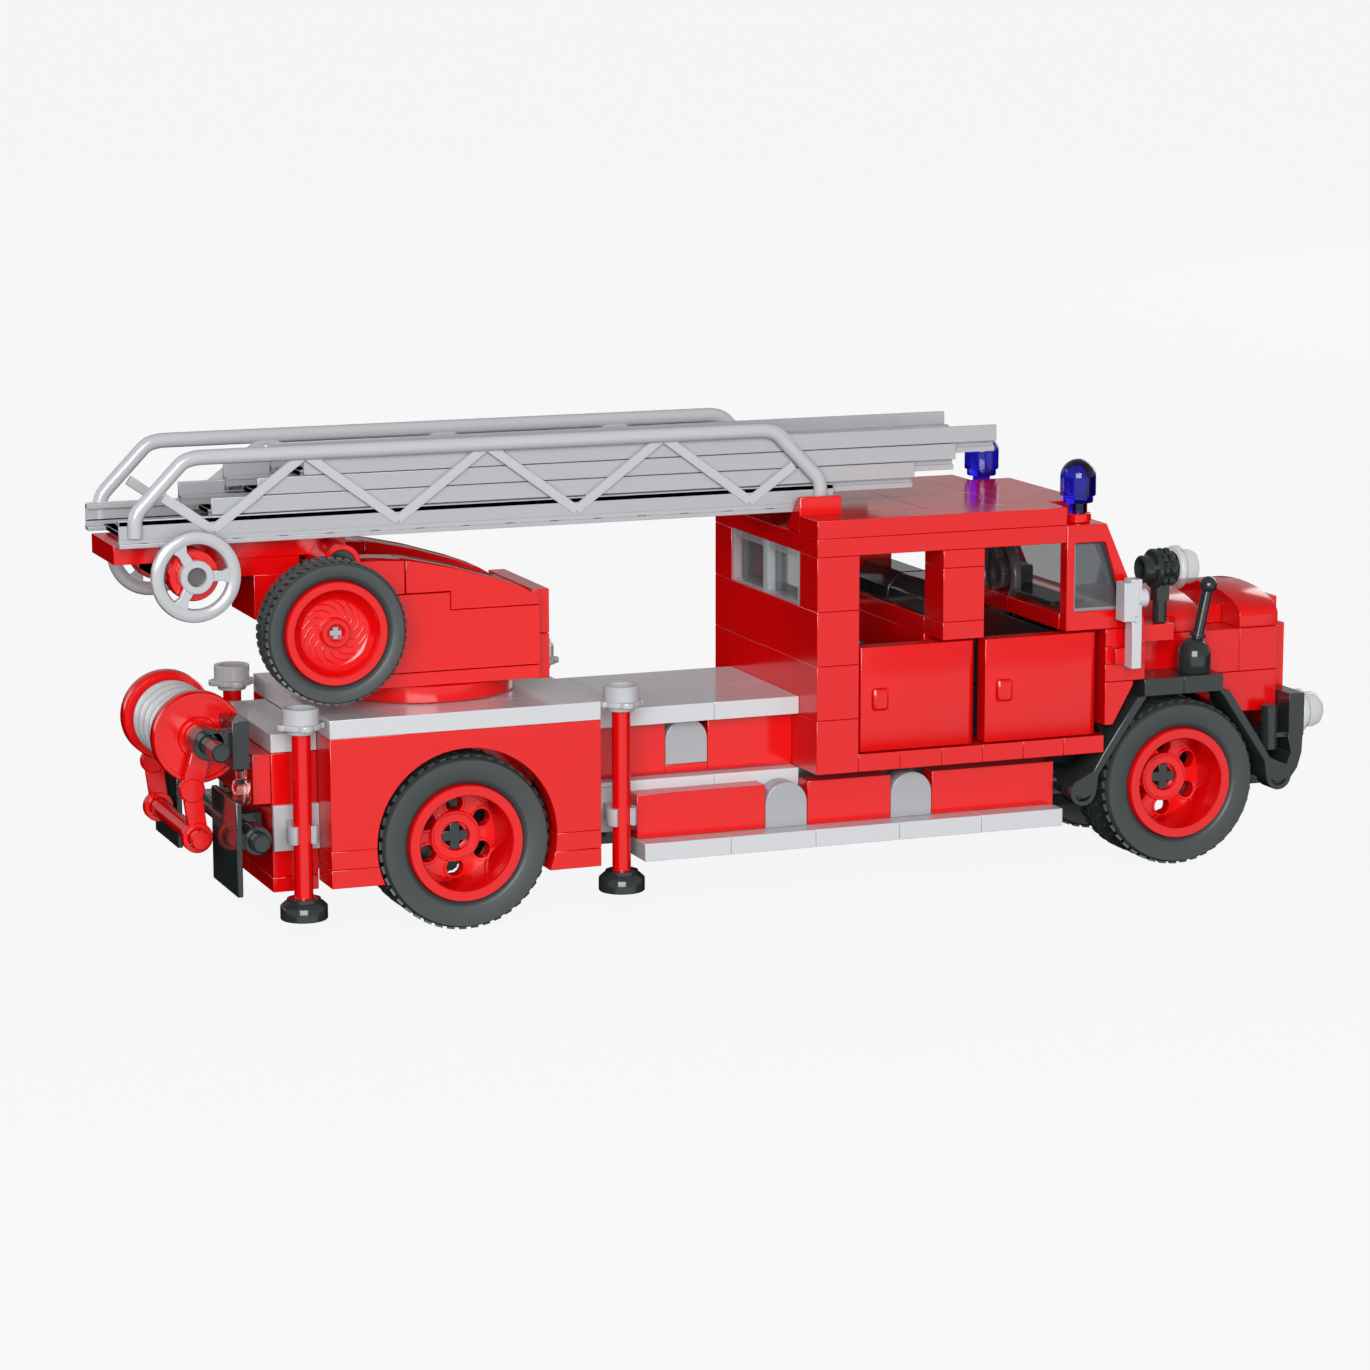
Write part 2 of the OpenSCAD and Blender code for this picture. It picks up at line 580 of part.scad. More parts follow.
// handrail that bends down at each end, and its zigzag braces
module ladder_truss() {
  w = 1.8;
  for(x=[-14,-10,-6]) { strut(x,14.8,x+2,18.5,w); strut(x+2,18.5,x+4,14.8,w); }
  strut(-14,14.75,-15.05,16.6,w);
  strut(-2,14.75,-0.95,16.6,w);
  y1 = 3-(ladder_w/2-base_wall)/stud;
  side_plate([[-15.84,14.4],[-15.84,15.8],[-14.66,18.85],[-14.4,19.04],[-1.6,19.04],[-1.34,18.85],[-0.16,15.8],[-0.16,14.5],
    [-0.5,14.5],[-0.5,15.7],[-1.55,18.2],[-14.45,18.2],[-15.5,15.7],[-15.5,14.4]],y1-(base_wall+rail_out)/stud,y1);
}
module ladder_carrier() color(red) {
  difference() {
    union() {
      gb(ladder_x0,-11,2,4,13,14.05);
      cy(pivot_x,pivot_z,lug_d,2.06,3.94);
      gb(-15,-12,2.06,3.94,12,13.1);
      gb(-15,-14,1.5,4.5,12,13);
      gb(-13,-12,2.06,3.94,9.65,12.1);
    }
    cy(pivot_x,pivot_z,4.8+2*run_gap,1,5);
  }
  both() cy(-14.5,12.55,8.6,1.2,1.6);
}
module hand_wheels() color(grey) both()
  translate([X(-14.5),Y(0.94),Z(12.55)]) rotate([-90,0,0]) {
    difference() { cylinder(h=2,d=hand_d); translate([0,0,-1]) cylinder(h=5,d=hand_d-4); }
    for(a=[60:120:300]) rotate(a) translate([0,-0.9,0.2]) cube([hand_d/2-1,1.8,1.7]);
    difference() { cylinder(h=2.08,d=5.6); translate([0,0,-1]) cylinder(h=2.2,d=3.2); }
  }
module ladder_section_2() color(light) sec(2);
module ladder_section_3() color(light) sec(3);
module ladder_section_4() color(light) sec(4);

module jack_front_right() color(red) jack(front_jack_x);
module jack_rear_right() color(red) jack(rear_jack_x);
module jack_front_left() color(red) mirror([0,1,0]) jack(front_jack_x);
module jack_rear_left() color(red) mirror([0,1,0]) jack(rear_jack_x);
module hose_reel() {
  color(red) difference() {
    union() { cy(reel_x,reel_z,reel_d,1.5,1.85); cy(reel_x,reel_z,reel_d,4.15,4.5); }
    cy(reel_x,reel_z,bar_d+2*run_gap,1,5);
  }
  color(grey) difference() {
    union() { cy(reel_x,reel_z,drum_d-1.4,1.85,4.15);
      for(i=[0:4]) cy(reel_x,reel_z,drum_d,1.93+i*0.44,1.93+i*0.44+0.28); }
    cy(reel_x,reel_z,bar_d+2*run_gap,1,5);
  }
}

// ---------------------------------------------------------------- what is drawn
chassis_frame();
running_boards();
lower_lockers();
locker_arches();
step_tiles();
upper_lockers();
rear_body();
deck_tiles();
tail_wall();
cab_rear_wall();
cab_side_frames();
cab_floor();
cab_roof();
ladder_cradles();
windscreen_frame();
cab_glass();
rear_windows();
seats();
steering_wheel();
cowl();
hood();
hood_curves();
radiator_grille();
front_fenders();
bumper();
headlight_lenses();
beacons();
reel_axle();
searchlight_body();
searchlight_lens();
mirrors();
marker_poles();
jack_clips();
reel_arms();
tail_lights();
mud_flaps();
front_axle_shaft();
front_rims();
front_tyres();
rear_axle_shaft();
rear_rims();
rear_tyres();
door_front_right();
door_rear_right();
door_front_left();
door_rear_left();
turret_body();
side_wheel_rim();
side_wheel_tyre();
ladder_base();
ladder_carrier();
hand_wheels();
ladder_section_2();
ladder_section_3();
ladder_section_4();
jack_front_right();
jack_rear_right();
jack_front_left();
jack_rear_left();
hose_reel();
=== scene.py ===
# Toy turntable-ladder fire engine built from interlocking bricks: looks built around the CAD frame.
import math
import bmesh
import bpy
from mathutils import Matrix, Vector


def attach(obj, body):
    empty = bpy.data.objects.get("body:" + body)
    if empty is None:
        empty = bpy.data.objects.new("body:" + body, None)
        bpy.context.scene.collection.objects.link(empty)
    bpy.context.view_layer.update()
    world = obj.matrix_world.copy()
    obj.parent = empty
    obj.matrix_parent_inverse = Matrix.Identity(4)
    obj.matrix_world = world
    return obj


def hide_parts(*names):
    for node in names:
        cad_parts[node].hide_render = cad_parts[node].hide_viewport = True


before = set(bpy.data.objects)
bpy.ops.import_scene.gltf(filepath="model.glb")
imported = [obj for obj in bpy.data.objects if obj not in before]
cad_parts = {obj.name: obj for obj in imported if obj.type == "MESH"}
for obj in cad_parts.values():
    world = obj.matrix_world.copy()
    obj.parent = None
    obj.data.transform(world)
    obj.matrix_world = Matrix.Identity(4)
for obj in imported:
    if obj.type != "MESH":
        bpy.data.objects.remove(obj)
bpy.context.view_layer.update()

MM = 0.001
STUD_MM, PLATE_MM = 8, 3.2
RIDE_MM = 22.2    # underside of the cab floor above the ground
STUD, PLATE, RIDE = STUD_MM * MM, PLATE_MM * MM, RIDE_MM * MM
X_MID = -0.0157
HALF_BODY = 0.024   # middle of the engine to the side of its body
SEAM = 0.025      # half the gap between two bricks, mm
EDGE = 0.09       # rounded edge of a moulded brick, mm


def X(s):
    return s * STUD - X_MID


def Y(s):
    return s * STUD - HALF_BODY


def Z(p):
    return RIDE + p * PLATE


def at(x, y, z):
    return Vector((X(x), Y(y), Z(z)))


# ------------------------------------------------------------------ materials
def colour(code):
    def channel(c):
        return c / 12.92 if c <= 0.04045 else ((c + 0.055) / 1.055) ** 2.4
    return [channel(int(code[i:i + 2], 16) / 255) for i in (1, 3, 5)] + [1.0]


def add_node(nt, kind, values=None, links=None, **settings):
    """One shader node with its settings, input values and incoming links; gives its outputs."""
    node = nt.nodes.new("ShaderNode" + kind)
    for key, value in settings.items():
        setattr(node, key, value)
    for key, value in (values or {}).items():
        node.inputs[key].default_value = value
    for key, source in (links or {}).items():
        nt.links.new(source, node.inputs[key])
    return node.outputs


FLOW_MM = 50 / 3    # slow changes of gloss where the plastic flowed
GRAIN_MM = 10 / 9   # fine unevenness; coarser than the real one, so that it shows


def moulded(name, code, rough=0.2, grain=0.0006, clear=False):
    """Plastic from a polished mould: even colour, crisp highlights that vary a little in sharpness."""
    m = bpy.data.materials.new(name)
    m.use_nodes = True
    nt = m.node_tree
    shader = nt.nodes["Principled BSDF"]
    shader.inputs["Base Color"].default_value = colour(code)
    shader.inputs["Roughness"].default_value = rough
    shader.inputs["IOR"].default_value = 1.54
    if clear:
        shader.inputs["Transmission Weight"].default_value = 1.0
        shader.inputs["IOR"].default_value = 1.5
        return m
    where = add_node(nt, "TexCoord")["Object"]
    flow = add_node(nt, "TexNoise", {"Scale": 1 / (FLOW_MM * MM), "Detail": 3.0}, {"Vector": where})
    span = add_node(nt, "MapRange", {"To Min": rough * 0.8, "To Max": rough * 1.25}, {"Value": flow["Fac"]})
    nt.links.new(span["Result"], shader.inputs["Roughness"])
    fine = add_node(nt, "TexNoise", {"Scale": 1 / (GRAIN_MM * MM), "Detail": 2.0}, {"Vector": where})
    bump = add_node(nt, "Bump", {"Distance": grain * MM * 20, "Strength": 0.25}, {"Height": fine["Fac"]})
    nt.links.new(bump["Normal"], shader.inputs["Normal"])
    return m


def glazing(name, code, rough, through):
    """Thin clear plastic: part of the light goes straight on, the rest shows the plastic."""
    m = bpy.data.materials.new(name)
    m.use_nodes = True
    nt = m.node_tree
    shader = nt.nodes["Principled BSDF"]
    shader.inputs["Base Color"].default_value = colour(code)
    shader.inputs["Roughness"].default_value = rough
    shader.inputs["IOR"].default_value = 1.5
    shader.inputs["Alpha"].default_value = 1.0 - through
    return m


# opaque ABS: a full, even colour under a clear, glassy highlight
RED = moulded("red_moulded_abs", "#D9070A", 0.14)
GREY = moulded("light_grey_moulded_abs", "#C6C8CC", 0.14)
MID = moulded("bluish_grey_moulded_abs", "#B6B8BC", 0.15)
STRIP = moulded("ladder_grey_moulded_abs", "#A9ABAF", 0.15)
STEEL = moulded("mid_grey_moulded_abs", "#A0A2A6", 0.16)
BLACK = moulded("black_moulded_abs", "#2A3031", 0.1)
DARK = moulded("dark_grey_moulded_abs", "#5A5557", 0.22)
# soft rubber: broad dull highlights, so the treads read as matt
RUBBER = moulded("black_moulded_rubber", "#3A4041", 0.42, 0.004)
# clear polycarbonate: sharp glints and a bent view of what is behind
CLEAR = moulded("clear_moulded_polycarbonate", "#F2F5F7", 0.03, clear=True)
BLUE = moulded("blue_moulded_polycarbonate", "#14149C", 0.04, clear=True)
PINK = moulded("pale_red_moulded_polycarbonate", "#F0B0A8", 0.06, clear=True)
# thin panes and lenses: grey or milky, with a hard shine
PANE = glazing("grey_tinted_polycarbonate", "#5E666A", 0.05, 0.5)
FROST = glazing("milky_moulded_polycarbonate", "#C4C9CD", 0.08, 0.6)
# painted shade: a very dark, dull plug deep inside a tube stands in for the shade in its hollow, so that it
# reads as a hole
HOLE_PAINTED_SHADE = moulded("painted_hole_shade_abs", "#0C0E0F", 0.6)


# ------------------------------------------------------------------ shape tools
def tidy(bm):
    bmesh.ops.remove_doubles(bm, verts=bm.verts, dist=1e-7)
    bmesh.ops.recalc_face_normals(bm, faces=bm.faces)
    return bm


def soften(bm, width, segments=2):
    """Round the sharp edges; the flat faces between them stay flat-shaded."""
    for f in bm.faces:
        f.smooth = any(0.001 < e.calc_face_angle(0) < 0.6 for e in f.edges)
    if not width:
        return bm
    edges = [e for e in bm.edges if len(e.link_faces) == 2 and e.calc_face_angle(0) > 0.6]
    if edges:
        out = bmesh.ops.bevel(bm, geom=edges, offset=width * MM, offset_type="OFFSET", segments=segments,
                              profile=0.5, affect="EDGES", clamp_overlap=True, material=-1)
        for f in out["faces"]:
            f.smooth = True
    return bm


def brick(x0, x1, y0, y1, z0, z1, seam=SEAM):
    g = seam * MM
    lo = at(x0, y0, z0) + Vector((g, g, g))
    hi = at(x1, y1, z1) - Vector((g, g, g))
    bm = bmesh.new()
    bmesh.ops.create_cube(bm, size=1)
    bmesh.ops.scale(bm, vec=hi - lo, verts=bm.verts)
    bmesh.ops.translate(bm, vec=(lo + hi) / 2, verts=bm.verts)
    return bm


def grown(bm, face, vec):
    out = bmesh.ops.extrude_face_region(bm, geom=face)
    moved = [v for v in out["geom"] if isinstance(v, bmesh.types.BMVert)]
    bmesh.ops.translate(bm, vec=vec, verts=moved)
    return tidy(bm)


def side_slab(points, y0, y1, seam=SEAM):
    """Outline in studs along X and plates up, thick from y0 to y1."""
    g = seam * MM
    bm = bmesh.new()
    face = bm.faces.new([bm.verts.new(at(x, y0, z) + Vector((0, g, 0))) for x, z in points])
    return grown(bm, [face], Vector((0, (y1 - y0) * STUD - 2 * g, 0)))


def cross_slab(points, x0, x1, seam=SEAM):
    """Outline in studs across and plates up, long from x0 to x1."""
    g = seam * MM
    bm = bmesh.new()
    face = bm.faces.new([bm.verts.new(at(x0, y, z) + Vector((g, 0, 0))) for y, z in points])
    return grown(bm, [face], Vector(((x1 - x0) * STUD - 2 * g, 0, 0)))


def flat_slab(points, z0, z1, seam=0):
    g = seam * MM
    bm = bmesh.new()
    face = bm.faces.new([bm.verts.new(at(x, y, z0) + Vector((0, 0, g))) for x, y in points])
    return grown(bm, [face], Vector((0, 0, (z1 - z0) * PLATE - 2 * g)))


AXES = {"x": Vector((1, 0, 0)), "-x": Vector((-1, 0, 0)), "y": Vector((0, 1, 0)),
        "-y": Vector((0, -1, 0)), "z": Vector((0, 0, 1)), "-z": Vector((0, 0, -1))}


def posed(bm, where, axis):
    """Local z onto axis, then the origin onto where. For y the local x stays along X."""
    d = (AXES[axis] if isinstance(axis, str) else Vector(axis)).normalized()
    if abs(d.y) > 0.99:
        m = Matrix((Vector((1, 0, 0)), Vector((0, 0, 1)), d)).transposed()
    else:
        m = Vector((0, 0, 1)).rotation_difference(d).to_matrix()
    bmesh.ops.transform(bm, matrix=Matrix.Translation(where) @ m.to_4x4(), verts=bm.verts)
    bmesh.ops.recalc_face_normals(bm, faces=bm.faces)
    return bm


def turned(profile, where, axis, steps=56):
    """Profile of (radius, distance along the axis) in mm, spun round the axis."""
    bm = bmesh.new()
    vs = [bm.verts.new((r * MM, 0, h * MM)) for r, h in profile]
    es = [bm.edges.new(pair) for pair in zip(vs, vs[1:])]
    bmesh.ops.spin(bm, geom=vs + es, cent=(0, 0, 0), axis=(0, 0, 1), dvec=(0, 0, 0),
                   angle=2 * math.pi, steps=steps, use_merge=True, use_duplicate=False)
    return posed(tidy(bm), where, axis)


def disc(r, h0, h1, where, axis, edge=0.15, steps=48):
    return turned([(0, h0), (r - edge, h0), (r, h0 + edge), (r, h1 - edge), (r - edge, h1), (0, h1)],
                  where, axis, steps)


def collar(r_in, r_out, h0, h1, where, axis, edge=0.12, steps=48):
    e = edge
    return turned([(r_in, h0 + e), (r_in + e, h0), (r_out - e, h0), (r_out, h0 + e), (r_out, h1 - e),
                   (r_out - e, h1), (r_in + e, h1), (r_in, h1 - e), (r_in, h0 + e)], where, axis, steps)


def rod(a, b, r, edge=0.15, steps=32):
    return disc(r, 0, (b - a).length / MM, a, b - a, edge, steps)


def ball(r, where, rings=16):
    bm = bmesh.new()
    bmesh.ops.create_uvsphere(bm, u_segments=2 * rings, v_segments=rings, radius=r * MM)
    bmesh.ops.translate(bm, vec=where, verts=bm.verts)
    return bm


def ring_points(r, n, cx=0.0, cy=0.0, start=0.0):
    return [(cx + r * math.cos(start + 2 * math.pi * i / n), cy + r * math.sin(start + 2 * math.pi * i / n))
            for i in range(n)]


def sheet(outline, holes, h0, h1, where, axis):
    """Flat plate with holes, outline in mm, from h0 to h1 along the axis."""
    bm = bmesh.new()
    for loop in [outline] + holes:
        vs = [bm.verts.new((x * MM, y * MM, h0 * MM)) for x, y in loop]
        for a, b in zip(vs, vs[1:] + vs[:1]):
            bm.edges.new((a, b))
    bmesh.ops.triangle_fill(bm, use_beauty=True, use_dissolve=True, edges=bm.edges[:], normal=(0, 0, 1))
    grown(bm, bm.faces[:], Vector((0, 0, (h1 - h0) * MM)))
    return posed(bm, where, axis)


def swept(path, loop):
    """A closed loop of (across, up) in mm carried along a path in the XZ plane."""
    bm = bmesh.new()
    rings = []
    for i, p in enumerate(path):
        a = path[max(i - 1, 0)]
        b = path[min(i + 1, len(path) - 1)]
        d = (b - a).normalized()
        up = Vector((-d.z, 0, d.x))
        stretch = 1.0
        if 0 < i < len(path) - 1:
            half = (path[i] - a).angle(b - path[i], 0) / 2
            stretch = 1 / math.cos(half)
        vs = [bm.verts.new(p + Vector((0, y * MM, 0)) + up * (u * MM * stretch)) for y, u in loop]
        rings.append([bm.edges.new(pair) for pair in zip(vs, vs[1:] + vs[:1])])
    for one, two in zip(rings, rings[1:]):
        bmesh.ops.bridge_loops(bm, edges=one + two)
    for ring in (rings[0], rings[-1]):
        bmesh.ops.contextual_create(bm, geom=ring)
    return tidy(bm)


class Part:
    """One finished piece: solids are added one by one, each with its own material."""

    def __init__(self, name):
        self.name, self.bm, self.mats = name, bmesh.new(), []

    def add(self, bm, mat, edge=EDGE):
        soften(bm, edge)
        if mat not in self.mats:
            self.mats.append(mat)
        for f in bm.faces:
            f.material_index = self.mats.index(mat)
        scrap = bpy.data.meshes.new("scrap")
        bm.to_mesh(scrap)
        bm.free()
        self.bm.from_mesh(scrap)
        bpy.data.meshes.remove(scrap)
        return self

    def both(self):
        whole = self.bm.verts[:] + self.bm.edges[:] + self.bm.faces[:]
        out = bmesh.ops.duplicate(self.bm, geom=whole)["geom"]
        bmesh.ops.scale(self.bm, vec=(1, -1, 1), verts=[g for g in out if isinstance(g, bmesh.types.BMVert)])
        bmesh.ops.reverse_faces(self.bm, faces=[g for g in out if isinstance(g, bmesh.types.BMFace)])
        return self

    def flip(self):
        bmesh.ops.scale(self.bm, vec=(1, -1, 1), verts=self.bm.verts)
        bmesh.ops.reverse_faces(self.bm, faces=self.bm.faces)
        return self

    def done(self, body, slot, *nodes):
        for e in self.bm.edges:
            e.smooth = e.calc_face_angle(0) < 0.7
        mesh = bpy.data.meshes.new(self.name)
        self.bm.to_mesh(mesh)
        self.bm.free()
        for m in self.mats:
            mesh.materials.append(m)
        obj = bpy.data.objects.new(self.name, mesh)
        bpy.context.scene.collection.objects.link(obj)
        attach(obj, body)
        if nodes:
            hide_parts(*nodes)
        return obj


# ------------------------------------------------------------------ wheels
WHEEL_R, WHEEL_W = 15.2, 14
AXLE_Z = (WHEEL_R - RIDE_MM) / PLATE_MM
FRONT_AXLE_X, REAR_AXLE_X = 8, -9
RIM_HOLE_R, RIM_HOLE_AT = 1.5, 5.6
SIDE_WHEEL = (-11.8, 9.55)
SIDE_WHEEL_W = 7.6
WHEEL_IN, SIDE_WHEEL_IN = 0.6, -0.4    # side of the body in to the outer face of the tyre, mm


def bar(c, w, t):
    """Rectangle round c = (stud, plate), w mm and t mm to each side."""
    x0, x1 = c[0] - w / STUD_MM, c[0] + w / STUD_MM
    z0, z1 = c[1] - t / PLATE_MM, c[1] + t / PLATE_MM
    return [(x0, z0), (x1, z0), (x1, z1), (x0, z1)]


def tread(part, cx, cz, y0, r_in, r_out, width, count):
    """A row of tread blocks behind each shoulder and ribs round the middle of a tyre."""
    long = width * 0.26
    hub = Vector((X(cx), -HALF_BODY, Z(cz)))
    for row in (0, 1):
        for k in range(count):
            a = 2 * math.pi * (k + 0.5 * row) / count
            bm = bmesh.new()
            bmesh.ops.create_cube(bm, size=1)
            block = Vector((2 * math.pi * r_out / count * 0.6, long, r_out - r_in))
            bmesh.ops.scale(bm, vec=block * MM, verts=bm.verts)
            turn = Matrix.Rotation(0.3 * (1 - 2 * row), 4, "Z")
            lift = Matrix.Translation((0, (y0 + width * (0.22 + 0.56 * row)) * MM, (r_out + r_in) / 2 * MM))
            spin = Matrix.Rotation(a, 4, "Y")
            bmesh.ops.transform(bm, matrix=Matrix.Translation(hub) @ spin @ lift @ turn, verts=bm.verts)
            part.add(bm, RUBBER, 0)
    for t in (0.41, 0.5, 0.59):
        rib = collar(r_in - 0.6, r_out - 0.15, width * (t - 0.03), width * (t + 0.03),
                Vector((X(cx), -HALF_BODY + y0 * MM, Z(cz))), "y", 0.1, 72)
        part.add(rib, RUBBER, 0)


def tyre_solid(r_rim, r_face, r_out, width):
    near = [(r_rim, 1.4), (r_rim + 0.1, 0.9), (r_rim + 0.75, 0.25), (r_rim + 1.0, 0.15), (r_face - 0.5, 0.1),
            (r_face - 0.15, 0.1), (r_face, 0.25), (r_face + 0.25, 1.0), (r_out, 1.3)]
    far = [(r, width - h) for r, h in reversed(near)]
    return near + far + [near[0]]


def road_wheels(name, cx, body):
    p = Part(name + "_tyre_pair")
    hub = Vector((X(cx), -HALF_BODY + WHEEL_IN * MM, Z(AXLE_Z)))
    p.add(turned(tyre_solid(10.15, 14.5, 14.45, WHEEL_W), hub, "y", 96), RUBBER, 0)
    tread(p, cx, AXLE_Z, WHEEL_IN, 14.3, 15.15, WHEEL_W, 44)
    p.both().done(body, "rubber", name + "_tyres")
    p = Part(name + "_rim_pair")
    p.add(turned([(10.1, 13.4), (10.1, 0.2), (9.95, 0.0), (8.4, 0.0), (8.25, 0.15), (8.2, 0.5), (7.8, 2.5),
            (7.3, 6.9), (7.3, 10.5), (8.2, 13.4), (10.1, 13.4)], hub, "y", 64), RED, 0)
    angles = [math.radians(30 + k * 60) for k in range(6)]
    holes = [ring_points(RIM_HOLE_R, 24, RIM_HOLE_AT * math.cos(a), RIM_HOLE_AT * math.sin(a))
            for a in angles]
    p.add(sheet(ring_points(7.5, 56), holes + [ring_points(2.0, 24)], 7.2, 9.4, hub, "y"), RED, 0.1)
    for a in angles:
        spot = hub + Vector((RIM_HOLE_AT * math.cos(a), 0, RIM_HOLE_AT * math.sin(a))) * MM
        p.add(collar(1.48, 2.0, 6.9, 9.5, spot, "y", 0.12, 28), RED, 0)
    p.add(turned([(4.5, 7.2), (4.45, 6.5), (4.3, 6.35), (4.05, 6.35), (3.95, 6.45), (3.85, 6.35),
            (2.6, 6.35), (2.45, 6.5), (2.4, 9.4), (4.5, 9.4), (4.5, 7.2)], hub, "y", 48), RED, 0)
    p.both().done(body, "red", name + "_rims")
    p = Part(name + "_axle_pair")
    for w, t in ((2.3, 0.85), (0.85, 2.3)):
        p.add(side_slab(bar((cx, AXLE_Z), w, t), 0.92 + w * 0.004, 5.08 - w * 0.004, 0), BLACK, 0.08)
    p.add(disc(3.6, 0, 1.0, at(cx, 1.85, AXLE_Z), "y"), BLACK, 0)
    p.add(disc(3.6, -1.0, 0, at(cx, 4.15, AXLE_Z), "y"), BLACK, 0)
    p.done(body, "black", name + "_axle_shaft")


def turret_wheel():
    hub = Vector((X(SIDE_WHEEL[0]), -HALF_BODY + SIDE_WHEEL_IN * MM, Z(SIDE_WHEEL[1])))
    p = Part("turret_wheel_tyre")
    p.add(turned(tyre_solid(8.85, 11.65, 11.6, SIDE_WHEEL_W), hub, "y", 80), RUBBER, 0)
    tread(p, *SIDE_WHEEL, SIDE_WHEEL_IN, 11.5, 12.15, SIDE_WHEEL_W, 52)
    p.done("side_wheel", "rubber", "side_wheel_tyre")
    p = Part("turret_wheel_rim")
    p.add(turned([(0, 7.4), (0, 2.0), (1.35, 2.0), (1.35, 1.1), (1.6, 0.9), (2.3, 0.9), (2.55, 1.15),
            (2.6, 2.2), (5.4, 2.35), (6.1, 2.1), (6.9, 1.0), (7.3, 0.3), (7.45, 0.15), (8.6, 0.15),
            (8.8, 0.4), (8.8, 6.9), (8.4, 7.2), (0, 7.4)], hub, "y", 64), RED, 0)
    for k in range(14):
        path = []
        for i in range(7):
            r = 3.0 + 2.5 * i / 6
            a = 2 * math.pi * k / 14 + 0.75 * (i / 6) ** 1.6
            path.append(Vector((r * math.cos(a), 0, r * math.sin(a))) * MM)
        out = Vector((0, 2.3 * MM, 0))
        for a, b in zip(path, path[1:]):
            p.add(rod(hub + a + out, hub + b + out, 0.13, 0.04, 8), RED, 0)
    for w, t in ((1.0, 0.4), (0.4, 1.0)):
        p.add(side_slab(bar(SIDE_WHEEL, w, t), 0.11 + w * 0.002, 0.2, 0), STEEL, 0.05)
    p.add(disc(3.7, 6.9, 8.3, hub, "y"), RED, 0)
    p.add(disc(2.4, 7, 16, hub, "y"), RED, 0)
    p.done("side_wheel", "red", "side_wheel_rim")


# ------------------------------------------------------------------ lower body
def arc(cx, cz, r, a0, a1, n):
    return [(cx + r / STUD_MM * math.cos(math.radians(a0 + (a1 - a0) * i / n)),
            cz + r / PLATE_MM * math.sin(math.radians(a0 + (a1 - a0) * i / n))) for i in range(n + 1)]


ARCH_R = 16


def rear_body():
    p = Part("rear_body_bricks")
    top = [(-12, -2), (-12, 4), (-6, 4), (-6, -2)] + arc(REAR_AXLE_X, -2, ARCH_R, 0, 180, 36)
    p.add(side_slab(top, 0, 1), RED)
    for z0, z1 in ((-3, -2), (-4, -3)):
        q = math.degrees(math.asin((-2 - z0) * PLATE_MM / ARCH_R))
        q0 = math.degrees(math.asin((-2 - z1) * PLATE_MM / ARCH_R))
        g = 0.012
        left = [(-12, z0 + g), (-12, z1 - g)] + arc(REAR_AXLE_X, -2, ARCH_R, 180 + q0, 180 + q, 4)
        p.add(side_slab(left, 0, 1), RED)
        p.add(side_slab([(2 * REAR_AXLE_X - x, z) for x, z in left], 0, 1), RED)
    p.both().done("chassis", "red", "rear_body")


def decks():
    p = Part("deck_tiles_smooth")
    for x0, x1 in ((-12, -10), (-10, -8), (-8, -6)):
        for y0, y1 in ((1, 3), (3, 5)):
            p.add(brick(x0, x1, y0, y1, 4, 5, 0.02), GREY)
    for y0 in (0, 5):
        p.add(brick(-12, -6, y0, y0 + 1, 4, 5, 0.02), GREY)
    p.add(brick(-13, -12, 1, 5, 3, 4), GREY)
    for x0, x1 in ((-6, -5), (-5, -3), (-3, -1)):
        for y0, y1 in ((1, 3), (3, 5)):
            p.add(brick(x0, x1, y0, y1, 3, 4, 0.03), GREY)
    p.done("chassis", "grey", "deck_tiles")
    p = Part("mid_step_tiles")
    for x0, x1 in ((-6, -5), (-5, -3), (-3, -1)):
        p.add(brick(x0, x1, 1, 1.78, -1, 0, 0.03), GREY)
    p.both().done("chassis", "grey", "step_tiles")
    p = Part("running_board_tiles")
    for x in (-5, -3, -1, 1, 3):
        p.add(brick(x, x + 2, 0, 1, -4, -3, 0.03), GREY)
    p.both().done("chassis", "grey", "running_boards")


def lockers():
    p = Part("lower_locker_panels")
    for x0, x1 in ((-5, -2), (-1, 1), (2, 5)):
        p.add(brick(x0, x1, 0.5, 1, -3, -0.55), RED)
    p.both().done("chassis", "red", "lower_lockers")
    p = Part("upper_locker_panels")
    p.add(brick(-11.95, -4, 1.4, 1.8, 0.02, 2.98), RED)
    p.add(brick(-3, -1, 1.4, 1.8, 0.02, 2.98), RED)
    p.add(brick(-4, -3, 1.4, 1.8, 0.02, 0.5), RED)
    p.both().done("chassis", "red", "upper_lockers")
    p = Part("locker_arch_tiles")
    for x, y0, y1, z0 in ((-2, 0.5, 1, -3), (1, 0.5, 1, -3), (-4, 1.4, 1.8, 0.5)):
        r = 3.92
        foot = [(x + 0.5 - r / STUD_MM, z0), (x + 0.5 + r / STUD_MM, z0)]
        crown = arc(x + 0.5, z0 + (STUD_MM - r) / PLATE_MM, r, 0, 180, 24)
        p.add(side_slab(foot + crown, y0, y1), STEEL, 0.12)
    p.both().done("chassis", "grey", "locker_arches")


def tail():
    p = Part("tail_bricks")
    for z0, z1 in ((-4.5, -3.7), (-3.7, -0.6), (-0.6, 2.98)):
        for y0, y1 in ((1, 3), (3, 5)):
            p.add(brick(-13, -12, y0, y1, z0, z1), RED)
    for y0, y1 in ((1, 3), (3, 5)):
        p.add(brick(-13.4, -13.01, y0, y1, 0.3, 2.98), RED)
    p.done("chassis", "red", "tail_wall")


